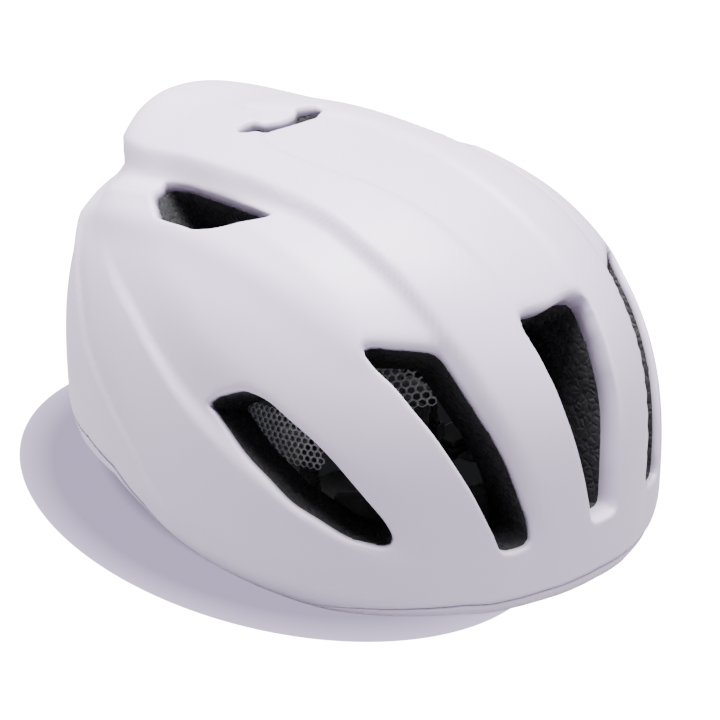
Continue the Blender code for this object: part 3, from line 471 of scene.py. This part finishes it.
def cavity_elevation(a, height):
    low, high = np.full(a.shape, radians(-45)), np.full(a.shape, radians(60))
    for _ in range(30):
        middle = (low + high) / 2
        above = CENTRE[2] + cavity_radius(a, middle) * np.sin(middle) > height
        high, low = np.where(above, middle, high), np.where(above, low, middle)
    return high


def make_foam(net, radius, which):
    """Bead foam liner: walls of the vents run from under the shell's edge to the cavity."""
    way = heading(net.a, net.e)
    height = rim_line(net.a) + FOAM_BASE
    edge = elevation_of(net.a, pin_line(net.a) + 0.4)
    foot = elevation_of(net.a, height)
    foot_inside = cavity_elevation(net.a, height)
    share = (net.e - edge) / (pi / 2 - edge)
    inside = net.e - (edge - foot_inside) * (1 - smooth(share / 0.22))
    cavity = cavity_point(net.a, inside)
    hollow = smooth((POCKET_HALF - np.abs(cavity[:, 0])) / 2.5) * smooth((POCKET_TOP - cavity[:, 2]) / 2.5)
    hollow = hollow * (cavity[:, 1] > 60) * (cavity[:, 1] < POCKET_REAR)
    cavity[:, 1] += hollow * (POCKET_REAR - cavity[:, 1])
    at_vent = (net.level < 0.2)[:, None]
    depth = np.where(net.level < 1.2, WALL[which] + 0.3, 2.2)
    top = CENTRE + (radius - depth)[:, None] * way
    base = CENTRE + (base_radius(net.a, foot) - 2.4)[:, None] * heading(net.a, foot)
    rings = [np.where(at_vent, top * (1 - t) + cavity * t, base * (1 - t) + cavity * t) for t in (0.33, 0.67)]
    rings[0] = np.where(at_vent, rings[0], base)
    return full_mesh("foam_liner", *layered(net, [top, *rings, cavity]))


def loop_round(name, rows):
    """Closed tube of rows of points that each run once round the helmet, in millimetres."""
    rows = np.array(rows)
    count, columns = rows.shape[:2]
    i, j = np.meshgrid(np.arange(count), np.arange(columns), indexing="ij")
    i2, j2 = (i + 1) % count, (j + 1) % columns
    faces = np.stack([i * columns + j, i * columns + j2, i2 * columns + j2, i2 * columns + j], -1).reshape(-1, 4)
    mesh = bpy.data.meshes.new(name)
    mesh.from_pydata((rows.reshape(-1, 3) * MM).tolist(), [], faces.tolist())
    piece = bpy.data.objects.new(name, mesh)
    bpy.context.scene.collection.objects.link(piece)
    bm = bmesh.new()
    bm.from_mesh(mesh)
    bmesh.ops.recalc_face_normals(bm, faces=bm.faces)
    bm.to_mesh(mesh)
    bm.free()
    mesh.shade_smooth()
    return piece


def make_trim():
    """Edge strip below the pinstripe groove, turned in flat under the foam."""
    a = np.linspace(-pi, pi, 360, endpoint=False)
    rim, pin = rim_line(a), pin_line(a)

    def wall(height, depth):
        e = elevation_of(a, height)
        return CENTRE + (base_radius(a, e) + relief(a, e) - depth)[:, None] * heading(a, e)

    corner = wall(rim, 0)
    inwards = -np.stack([corner[:, 0], corner[:, 1], np.zeros(len(a))], -1)
    inwards /= np.linalg.norm(inwards, axis=1, keepdims=True)

    def under(reach, lift):
        place = corner + inwards * reach
        place[:, 2] = rim + lift
        return place

    height = pin - 0.4 - rim
    rows = [wall(pin - 0.4, 1.5), wall(pin - 0.4, 0.7), wall(pin - 0.6, 0.4), wall(pin - 0.9, 0.15)]
    rows += [wall(rim + height * share, 0.05) for share in (0.7, 0.45)]
    rows += [wall(rim + 0.7, 0.1), wall(rim + 0.3, 0.3), under(0.8, 0.05), under(1.6, 0), under(4, 0), under(6.6, 0)]
    rows += [under(7, 0.3), under(7, 1.0), under(6.5, 1.2), under(2.4, 1.2)]
    return loop_round("edge_strip", rows)


# Middle of each net panel on the cavity wall in degrees, and its half count of columns and rows
NET_PANELS = ((65, 23, 6, 4), (30.5, 38, 3, 4))


def hex_net(name, side):
    """Knitted hexagon net laid on the cavity wall behind the temple vent and the front vent."""
    pitch, strand = 2.7, 0.7
    bm = bmesh.new()
    for azimuth, elevation, columns, rows in NET_PANELS:
        for row in range(-rows, rows + 1):
            for column in range(-columns, columns + 1):
                u = (column + 0.5 * (row % 2)) * pitch
                v = row * pitch * 0.866
                rings = []
                for radius in (pitch / 3**0.5, pitch / 3**0.5 - strand * 0.5774):
                    rings.append([])
                    for k in range(6):
                        turn = pi / 6 + k * pi / 3
                        across = (u + radius * cos(turn)) / 84 / cos(radians(elevation))
                        a = np.array([side * (radians(azimuth) - across)])
                        e = np.array([radians(elevation) + (v + radius * sin(turn)) / 88])
                        rings[-1].append(bm.verts.new(cavity_point(a, e, 0.6)[0]))
                for k in range(6):
                    bm.faces.new((rings[0][k], rings[0][(k + 1) % 6], rings[1][(k + 1) % 6], rings[1][k]))
    bmesh.ops.remove_doubles(bm, verts=bm.verts, dist=0.02)
    bmesh.ops.scale(bm, vec=(MM, MM, MM), verts=bm.verts)
    mesh = bpy.data.meshes.new(name)
    bmesh.ops.recalc_face_normals(bm, faces=bm.faces)
    bm.to_mesh(mesh)
    bm.free()
    piece = bpy.data.objects.new(name, mesh)
    bpy.context.scene.collection.objects.link(piece)
    wall = piece.modifiers.new("strand", "SOLIDIFY")
    wall.thickness = 0.0006
    bpy.context.view_layer.objects.active = piece
    bpy.ops.object.modifier_apply(modifier=wall.name)
    mesh.shade_smooth()
    return piece


# ---------------------------------------------------------------- finishes


class Value:
    """A socket of a finish, so that sums on it add the nodes they need."""

    def __init__(self, finish, socket):
        self.finish, self.socket = finish, socket

    def sum(self, operation, other, swap=False):
        pair = (other, self) if swap else (self, other)
        return self.finish.node("ShaderNodeMath", {"operation": operation}, {0: pair[0], 1: pair[1]})

    def __add__(self, other):
        return self.sum("ADD", other)

    def __sub__(self, other):
        return self.sum("SUBTRACT", other)

    def __rsub__(self, other):
        return self.sum("SUBTRACT", other, True)

    def __mul__(self, other):
        return self.sum("MULTIPLY", other)

    def __truediv__(self, other):
        return self.sum("DIVIDE", other)

    def __pow__(self, other):
        return self.sum("POWER", other)

    __radd__, __rmul__ = __add__, __mul__


class Finish:
    """A material under construction: plain values go on the shader's sockets, varying ones are linked."""

    def __init__(self, name, **plain):
        self.material = bpy.data.materials.new(name)
        self.material.use_nodes = True
        self.tree = self.material.node_tree
        self.shader = self.tree.nodes["Principled BSDF"]
        for socket, value in plain.items():
            self.shader.inputs[socket.replace("_", " ")].default_value = value
        self.place = self.node("ShaderNodeTexCoord", {}, {}, "Object")

    def node(self, kind, settings, sockets, output=0):
        made = self.tree.nodes.new(kind)
        for key, value in settings.items():
            if key == "stops":
                for i, (at, shade) in enumerate(value):
                    stop = made.color_ramp.elements[i] if i < 2 else made.color_ramp.elements.new(at)
                    stop.position = at
                    stop.color = (*shade, 1) if isinstance(shade, tuple) else (shade, shade, shade, 1)
            else:
                setattr(made, key, value)
        for key, value in sockets.items():
            if isinstance(value, Value):
                self.tree.links.new(value.socket, made.inputs[key])
            else:
                made.inputs[key].default_value = value
        return Value(self, made.outputs[output])

    def noise(self, scale, detail=3.0, roughness=0.5, vector=None):
        sockets = {"Vector": vector or self.place, "Scale": scale, "Detail": detail, "Roughness": roughness}
        return self.node("ShaderNodeTexNoise", {}, sockets)

    def ramp(self, value, *stops):
        return self.node("ShaderNodeValToRGB", {"stops": stops}, {0: value})

    def mix(self, factor, first, second):
        sockets = {0: factor, 6: first if isinstance(first, Value) else (*first, 1),
                   7: second if isinstance(second, Value) else (*second, 1)}
        return self.node("ShaderNodeMix", {"data_type": "RGBA"}, sockets, 2)

    def put(self, socket, value):
        self.tree.links.new(value.socket, self.shader.inputs[socket])

    def bump(self, height, distance, strength=1.0):
        sockets = {"Strength": strength, "Distance": distance, "Height": height}
        self.put("Normal", self.node("ShaderNodeBump", {}, sockets))


def painted_shell(name, colour, shade):
    """Satin paint on polycarbonate: a slight orange peel, faint tone drift and a few dull patches."""
    finish = Finish(name, Roughness=0.42, Specular_IOR_Level=0.4, Coat_Weight=0.12, Coat_Roughness=0.35)
    drift = finish.ramp(finish.noise(14, 2), (0.35, 0.0), (0.65, 1.0))
    finish.put("Base Color", finish.mix(drift, colour, shade))
    finish.put("Roughness", 0.40 + finish.noise(60, 4) * 0.10)
    finish.bump(finish.noise(900, 2), 0.00003, 0.5)
    return finish.material


def bead_foam():
    """Moulded beads packed edge to edge, each slightly domed, with dark gaps and a few bright specks."""
    finish = Finish("bead_foam", Specular_IOR_Level=0.35)
    beads = {"Vector": finish.place, "Scale": 330.0}
    cell = finish.node("ShaderNodeTexVoronoi", {"feature": "DISTANCE_TO_EDGE"}, beads)
    tint = finish.node("ShaderNodeTexVoronoi", {}, beads, "Color")
    speck = finish.ramp(finish.noise(1500, 2, 0.7), (0.66, 0.0), (0.74, 1.0))
    shade = finish.ramp(tint, (0.0, (0.006, 0.006, 0.007)), (1.0, (0.022, 0.022, 0.024)))
    finish.put("Base Color", finish.mix(speck, shade, (0.10, 0.10, 0.105)))
    finish.put("Roughness", 0.62 + finish.noise(500, 2) * 0.25)
    finish.bump(finish.ramp(cell, (0.0, 0.0), (0.25, 1.0)), 0.00035, 0.9)
    return finish.material


def knitted():
    finish = Finish("knitted_net", Roughness=0.55, Sheen_Weight=0.2)
    finish.put("Base Color", finish.ramp(finish.noise(900, 3), (0.3, (0.30, 0.31, 0.33)), (0.7, (0.58, 0.59, 0.62))))
    finish.bump(finish.noise(2500, 2), 0.0001, 0.6)
    return finish.material


def pad_cloth():
    """Brushed knit over foam: fine stitches, short nap and a soft drift in tone."""
    finish = Finish("pad_cloth", Sheen_Weight=0.35, Sheen_Roughness=0.5)
    knit = finish.node("ShaderNodeTexVoronoi", {}, {"Vector": finish.place, "Scale": 1500.0})
    drift = finish.noise(120, 4)
    finish.put("Base Color", finish.ramp(drift, (0.3, (0.010, 0.010, 0.012)), (0.7, (0.028, 0.028, 0.031))))
    finish.put("Roughness", 0.80 + finish.noise(700, 2) * 0.15)
    finish.bump(knit * 0.6 + finish.noise(3000, 2) * 0.4, 0.0002, 0.8)
    return finish.material


def woven_web():
    """Twill webbing: slanting ribs that meet along the middle, with a fine thread across them, and painted shade
    darkening the grooves between them.
    """
    finish = Finish("woven_web", Sheen_Weight=0.15)
    chart = finish.node("ShaderNodeUVMap", {"uv_map": "weave"}, {})
    axes = finish.node("ShaderNodeSeparateXYZ", {}, {0: chart})
    along, across = axes, Value(finish, axes.socket.node.outputs[1])
    slant = along * 5.2 + across.sum("ABSOLUTE", 0.0) * 5.2
    rib = slant.sum("SINE", 0.0) * 0.5 + 0.5
    thread = (across * 26).sum("SINE", 0.0) * 0.5 + 0.5
    height = rib * 0.7 + thread * 0.3
    # painted shade: colour darker where the weave is low, lighter on the rib tops
    finish.put("Base Color", finish.ramp(height, (0.1, (0.008, 0.008, 0.009)), (0.9, (0.034, 0.034, 0.036))))
    finish.put("Roughness", 0.58 + finish.noise(900, 2) * 0.2)
    finish.bump(height, 0.0002, 0.9)
    return finish.material


def moulded(name, dark, light, roughness, grain, depth, **plain):
    """Moulded part with a sparked grain and a slight drift in tone and gloss."""
    finish = Finish(name, **plain)
    finish.put("Base Color", finish.ramp(finish.noise(60, 4), (0.3, dark), (0.7, light)))
    finish.put("Roughness", roughness + finish.noise(grain / 8, 3) * 0.18)
    finish.bump(finish.noise(grain, 3), depth, 0.7)
    return finish.material


def brushed():
    finish = Finish("brushed_steel", Metallic=1.0)
    lines = finish.node("ShaderNodeMapping", {}, {"Vector": finish.place, "Scale": (1.0, 14.0, 14.0)})
    streak = finish.noise(220, 4, vector=lines)
    finish.put("Base Color", finish.ramp(streak, (0.3, (0.40, 0.40, 0.41)), (0.7, (0.62, 0.62, 0.63))))
    finish.put("Roughness", 0.24 + streak * 0.2)
    finish.bump(streak, 0.00003, 0.5)
    return finish.material


def hooked():
    finish = Finish("hook_tape", Sheen_Weight=0.2)
    hook = finish.node("ShaderNodeTexVoronoi", {}, {"Vector": finish.place, "Scale": 900.0})
    # painted highlight and shade: lighter where the hooks stand up, darker in the gaps between them
    finish.put("Base Color", finish.ramp(hook, (0.1, (0.05, 0.05, 0.052)), (0.6, (0.008, 0.008, 0.008))))
    finish.put("Roughness", 0.6 + finish.noise(600, 2) * 0.2)
    finish.bump(1 - hook, 0.0003, 0.9)
    return finish.material


SHELL_PAINT = painted_shell("shell_paint", (0.62, 0.545, 0.70), (0.605, 0.53, 0.685))
STRIP_PAINT = painted_shell("strip_paint", (0.60, 0.53, 0.67), (0.585, 0.515, 0.655))
FOAM = bead_foam()
NET = knitted()
PAD, WEB = pad_cloth(), woven_web()
NYLON = moulded("moulded_nylon", (0.012, 0.012, 0.013), (0.020, 0.020, 0.021), 0.42, 1800.0, 0.00005)
RUBBER = moulded("soft_rubber", (0.030, 0.030, 0.032), (0.050, 0.050, 0.053), 0.60, 2600.0, 0.00006,
                 Specular_IOR_Level=0.3)
STEEL, HOOK = brushed(), hooked()
FINE_EDGE, EDGE = 0.00008, 0.0002


def finish_piece(piece, material, slot, body, *nodes):
    """Dress a new piece, tie it to its body and hide the CAD nodes it takes the place of."""
    piece.data.materials.clear()
    piece.data.materials.append(material)
    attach(piece, body)
    if nodes:
        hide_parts(*nodes)
    return piece

# ---------------------------------------------------------------- webbing, millimetres

WEB_HALF, WEB_THICK = 7.5, 1.2
SPLITTER_X, SPLITTER_Z = 54.0, 3.25


def bezier(corners, count):
    t = np.linspace(0, 1, count + 1)[:, None]
    a, b, c, d = (np.array(corner, float) for corner in corners)
    return a * (1 - t) ** 3 + 3 * b * t * (1 - t) ** 2 + 3 * c * t * t * (1 - t) + d * t**3


def unit(rows):
    return rows / np.linalg.norm(rows, axis=-1, keepdims=True)


def webbing(name, run, across):
    """Woven strap: two ribbed faces between rounded edges, with its own weave coordinates."""
    w = np.linspace(-1, 1, 25)
    near_edge = np.clip((np.abs(w) - 0.92) / 0.08, 0, 1)
    half = WEB_THICK / 2 * np.sqrt(1 - near_edge**2) * (0.93 + 0.07 * np.abs(np.cos(w * 6 * pi)))
    sides = np.concatenate([w, w[-2:0:-1]]) * WEB_HALF
    lift = np.concatenate([half, -half[-2:0:-1]])
    ahead = unit(np.gradient(run, axis=0))
    up = unit(np.cross(ahead, across))
    reach = np.concatenate([[0], np.cumsum(np.linalg.norm(np.diff(run, axis=0), axis=1))])
    bm = bmesh.new()
    chart = bm.loops.layers.uv.new("weave")
    rings = [[bm.verts.new(point) for point in (here + side[None] * sides[:, None] + rise[None] * lift[:, None]) * MM]
             for here, side, rise in zip(run, across, up)]
    count = len(sides)
    for i, (first, second) in enumerate(zip(rings, rings[1:])):
        for k in range(count):
            n = (k + 1) % count
            face = bm.faces.new((first[k], first[n], second[n], second[k]))
            for loop, at in zip(face.loops, ((i, k), (i, n), (i + 1, n), (i + 1, k))):
                loop[chart].uv = (reach[at[0]], sides[at[1]])
    bm.faces.new(rings[0])
    bm.faces.new(rings[-1])
    bmesh.ops.recalc_face_normals(bm, faces=bm.faces)
    for face in bm.faces:
        face.smooth = True
    mesh = bpy.data.meshes.new(name)
    bm.to_mesh(mesh)
    bm.free()
    piece = bpy.data.objects.new(name, mesh)
    bpy.context.scene.collection.objects.link(piece)
    return piece


def level_across(run):
    ahead = np.gradient(run, axis=0)
    return unit(np.stack([ahead[:, 1], -ahead[:, 0], ahead[:, 0] * 0], -1))


def front_web(side):
    turn = np.array(side * radians(60.0))
    level = cavity_elevation(turn, 14.0)
    wall = cavity_point(turn, level)
    round_it = cavity_point(turn + 0.01, cavity_elevation(turn + 0.01, 14.0)) - wall
    over_it = cavity_point(turn, level + 0.01) - wall
    normal = unit(np.cross(round_it, over_it))
    normal = normal * np.sign(normal @ (wall - CENTRE))
    start = wall - normal * 4.9
    rearwards = unit(np.array([-normal[1], normal[0], 0])) * side
    end = np.array([side * SPLITTER_X, -9.8, SPLITTER_Z])
    run = bezier((start - rearwards * 3, start + rearwards * 12, end - (0, 12, 0), end), 48)
    upwards = np.cross(normal, rearwards) * side
    twist = (pi / 2 * (1 - np.clip((np.arange(49) / 4 - 2) / 9, 0, 1)))[:, None]
    return run, unit(np.array([side, 0, 0]) * np.cos(twist) + upwards * np.sin(twist))


def rear_web(side, name):
    low, high = (np.array(corner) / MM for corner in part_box(f"rear_anchor_{name}"))
    turn = side * radians(118.0)
    radial = np.array([np.sin(turn), -np.cos(turn), 0])
    start = np.array([(low[0] + high[0]) / 2, (low[1] + high[1]) / 2, low[2] - 0.9]) + radial * 3
    end = np.array([side * SPLITTER_X, 10.1, SPLITTER_Z])
    run = bezier((start, start - radial * 26, end + (0, 20, 0), end), 48)
    share = smooth((np.arange(49) - 40) / 4)[:, None]
    run = run * (1 - share) + np.where([True, False, True], end, run) * share
    return run, level_across(run)


def chin_web(side):
    out, near, bow = side * 44.4, side * 22.6, side * 6.0
    top = np.array([(out + near) / 2, 0, 40.0])
    aside = np.array([bow * 1.1, 0, 0])
    rise = bezier(((out, 0, 3.25), (out - bow * 1.4, 0, 3.25), top + aside, top), 32)
    fall = bezier((top, top - aside, (near + bow * 1.4, 0, 4.5), (near, 0, 4.5)), 32)
    run = np.vstack([rise, fall[1:]])
    return run, np.tile([0.0, 1.0, 0.0], (len(run), 1))


# ---------------------------------------------------------------- padding


CLOTH_MASS, CLOTH_PRESSURE, CLOTH_FRAMES = 0.001, 4, 20


def stuffed(node, name, voxel, shrink, swell):
    """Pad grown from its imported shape: rounded, drawn in a little, then blown out under pressure."""
    piece = bpy.data.objects.new(name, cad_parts[node].data.copy())
    bpy.context.scene.collection.objects.link(piece)
    bpy.context.view_layer.objects.active = piece
    remesh = piece.modifiers.new("remesh", "REMESH")
    remesh.mode = "VOXEL"
    remesh.voxel_size = voxel
    bpy.ops.object.modifier_apply(modifier=remesh.name)
    bm = bmesh.new()
    bm.from_mesh(piece.data)
    for _ in range(4):
        bmesh.ops.smooth_vert(bm, verts=bm.verts, factor=0.5, use_axis_x=True, use_axis_y=True, use_axis_z=True)
    bm.normal_update()
    for vert in bm.verts:
        vert.co -= vert.normal * shrink
    bm.to_mesh(piece.data)
    bm.free()
    count = len(piece.data.vertices)
    rest = np.empty(count * 3)
    piece.data.vertices.foreach_get("co", rest)
    cloth = piece.modifiers.new("cloth", "CLOTH")
    cloth.settings.quality = 4
    cloth.settings.mass = CLOTH_MASS
    cloth.settings.use_pressure = True
    cloth.settings.uniform_pressure_force = CLOTH_PRESSURE
    cloth.settings.effector_weights.gravity = 0
    cloth.collision_settings.use_collision = False
    scene = bpy.context.scene
    for number in range(1, CLOTH_FRAMES + 1):
        scene.frame_set(number)
    blown = np.empty(count * 3)
    found = piece.evaluated_get(bpy.context.evaluated_depsgraph_get())
    found.data.vertices.foreach_get("co", blown)
    moved = (blown - rest).reshape(-1, 3)
    length = np.maximum(np.linalg.norm(moved, axis=1, keepdims=True), 1e-9)
    moved *= swell * np.tanh(length / swell) / length
    piece.modifiers.remove(cloth)
    piece.data.vertices.foreach_set("co", rest + moved.reshape(-1))
    scene.frame_set(1)
    piece.data.polygons.foreach_set("use_smooth", np.ones(len(piece.data.polygons), bool))
    finer = piece.modifiers.new("finer", "SUBSURF")
    finer.levels = finer.render_levels = 1
    return piece


# ---------------------------------------------------------------- dressing

dome = half_net(165, 104, lambda a: pin_line(a) + 0.4, (0.35, 1.0, 2.2))
surface = shell_surface(dome)
finish_piece(make_shell(dome, *surface), SHELL_PAINT, "shell_white", "helmet", "upper_shell")
finish_piece(make_trim(), STRIP_PAINT, "trim_white", "helmet", "lower_trim")
finish_piece(make_foam(dome, *surface), FOAM, "foam_black", "helmet", "eps_liner")
for side_name, side in (("right", -1), ("left", 1)):
    finish_piece(hex_net(f"vent_net_{side_name}", side), NET, "net_grey", "helmet", f"insect_net_{side_name}")
    for end, path in (("front", front_web(side)), ("rear", rear_web(side, side_name))):
        finish_piece(webbing(f"web_{end}_{side_name}", *path), WEB, "web_black", "helmet", f"{end}_strap_{side_name}")
finish_piece(webbing("web_chin_left", *chin_web(1)), WEB, "web_black", "helmet", "chin_strap_left")

chin_right = webbing("web_chin_right", *chin_web(-1))
chin_right.data.materials.append(WEB)
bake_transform(chin_right)
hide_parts("chin_strap_right")

for node, body in (("brow_pad", "helmet"), ("crown_pad", "helmet"), ("side_pad_left", "helmet"),
                   ("side_pad_right", "helmet"), ("rear_pad_left", "helmet"), ("rear_pad_right", "helmet"),
                   ("cradle_pad_left", "cradle"), ("cradle_pad_right", "cradle"), ("chin_pad", "helmet")):
    grain, drawn_in, swell = (0.0008, 0.0001, 0.0003) if node == "chin_pad" else (0.0013, 0.0003, 0.0006)
    piece = finish_piece(stuffed(node, f"{node}_cloth", grain, drawn_in, swell), PAD, "pad_black", body, node)

for name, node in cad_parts.items():
    made_of, edge = NYLON, EDGE
    if name in ("dial_knob", "strap_keeper"):
        made_of = RUBBER
    elif name in ("dial_screw", "click_ring"):
        made_of, edge = STEEL, FINE_EDGE
    elif "_hook" in name:
        made_of, edge = HOOK, 0.0
    if node.material_slots:
        for place in node.material_slots:
            place.material = made_of
    else:
        node.data.materials.append(made_of)
    if edge and not node.hide_render:
        rounded = node.modifiers.new("edges", "BEVEL")
        rounded.width = edge
        rounded.segments = 2
        rounded.limit_method = "ANGLE"
        rounded.angle_limit = radians(35)


# ---------------------------------------------------------------- studio

VIEW_AZIMUTH, VIEW_ELEVATION, VIEW_DISTANCE = radians(41.61), radians(27.4), 0.81095
level = cos(VIEW_ELEVATION)
back = Vector((-sin(VIEW_AZIMUTH) * level, -cos(VIEW_AZIMUTH) * level, sin(VIEW_ELEVATION)))
lens = bpy.data.cameras.new("camera")
camera = bpy.data.objects.new("camera", lens)
bpy.context.scene.collection.objects.link(camera)
camera.location = Vector((0, 0, 0.054)) + back * VIEW_DISTANCE
camera.rotation_euler = (-back).to_track_quat("-Z", "Y").to_euler()
lens.sensor_width = 36
lens.lens = 98.94
lens.shift_y = 0.0238
lens.clip_end = 10
bpy.context.scene.camera = camera


def area_light(name, place, size, power):
    data = bpy.data.lights.new(name, "AREA")
    data.size = size
    data.energy = power
    light = bpy.data.objects.new(name, data)
    light.location = place
    light.rotation_euler = (Vector((0, 0, 0.08)) - Vector(place)).to_track_quat("-Z", "Y").to_euler()
    bpy.context.scene.collection.objects.link(light)


area_light("overhead", (0.0, 0.15, 1.2), 0.7, 74)
area_light("front_fill", (0.35, -1.1, 0.5), 0.6, 5)
world = bpy.data.worlds.new("studio")
bpy.context.scene.world = world
world.use_nodes = True
world.node_tree.nodes["Background"].inputs["Color"].default_value = (0.96, 0.95, 1.0, 1)
world.node_tree.nodes["Background"].inputs["Strength"].default_value = 0.46

bpy.ops.mesh.primitive_plane_add(size=6)
floor = bpy.context.object
floor.name = "floor"


def floor_with_painted_shadow():
    """Pale sweep that stays white to the eye, with a painted lavender shadow round the helmet's foot and painted
    near-black shade on the floor under the helmet and behind it on the far side.
    """
    finish = Finish("floor_white_painted_shadow", Roughness=0.9, Base_Color=(0.42, 0.41, 0.44, 1))
    axes = finish.node("ShaderNodeSeparateXYZ", {}, {0: finish.place})
    across, along = Value(finish, axes.socket), Value(finish, axes.socket.node.outputs[1])
    across, along = (across + 0.022) / 0.094, (along - 0.03) / 0.135
    away = (across * across + along * along) ** 0.5
    # painted shadow: a lavender-grey ring round the helmet's foot, shifted towards -X, fading to white further out
    tint = finish.ramp(away, (0.86, (0.028, 0.024, 0.036)), (1.0, (0.05, 0.044, 0.062)), (1.1, (0.14, 0.13, 0.16)),
                       (1.2, (0.45, 0.44, 0.47)), (1.34, (1.0, 1.0, 1.0)))
    # painted shade: near-black floor under the helmet, seen through its vents and open bottom, reaching out behind it
    # on the far side
    under = ((across * 0.094 - 0.040) / 0.105) ** 2.0 + ((along * 0.135 + 0.008) / 0.140) ** 2.0
    tint = finish.mix(finish.ramp(under, (0.72, 0.0), (0.95, 1.0)), (0.0006, 0.0006, 0.0007), tint)
    # the camera sees the floor as this glow, coloured by the painted shadow and shade; other rays see the plain pale
    # floor
    glow_with_painted_shadow = finish.tree.nodes.new("ShaderNodeEmission")
    glow_with_painted_shadow.inputs["Strength"].default_value = 22.0
    finish.tree.links.new(tint.socket, glow_with_painted_shadow.inputs["Color"])
    seen = finish.node("ShaderNodeLightPath", {}, {}, "Is Camera Ray")
    mix = finish.tree.nodes.new("ShaderNodeMixShader")
    finish.tree.links.new(seen.socket, mix.inputs[0])
    finish.tree.links.new(finish.shader.outputs[0], mix.inputs[1])
    finish.tree.links.new(glow_with_painted_shadow.outputs[0], mix.inputs[2])
    finish.tree.links.new(mix.outputs[0], finish.tree.nodes["Material Output"].inputs["Surface"])
    return finish.material


floor.data.materials.append(floor_with_painted_shadow())
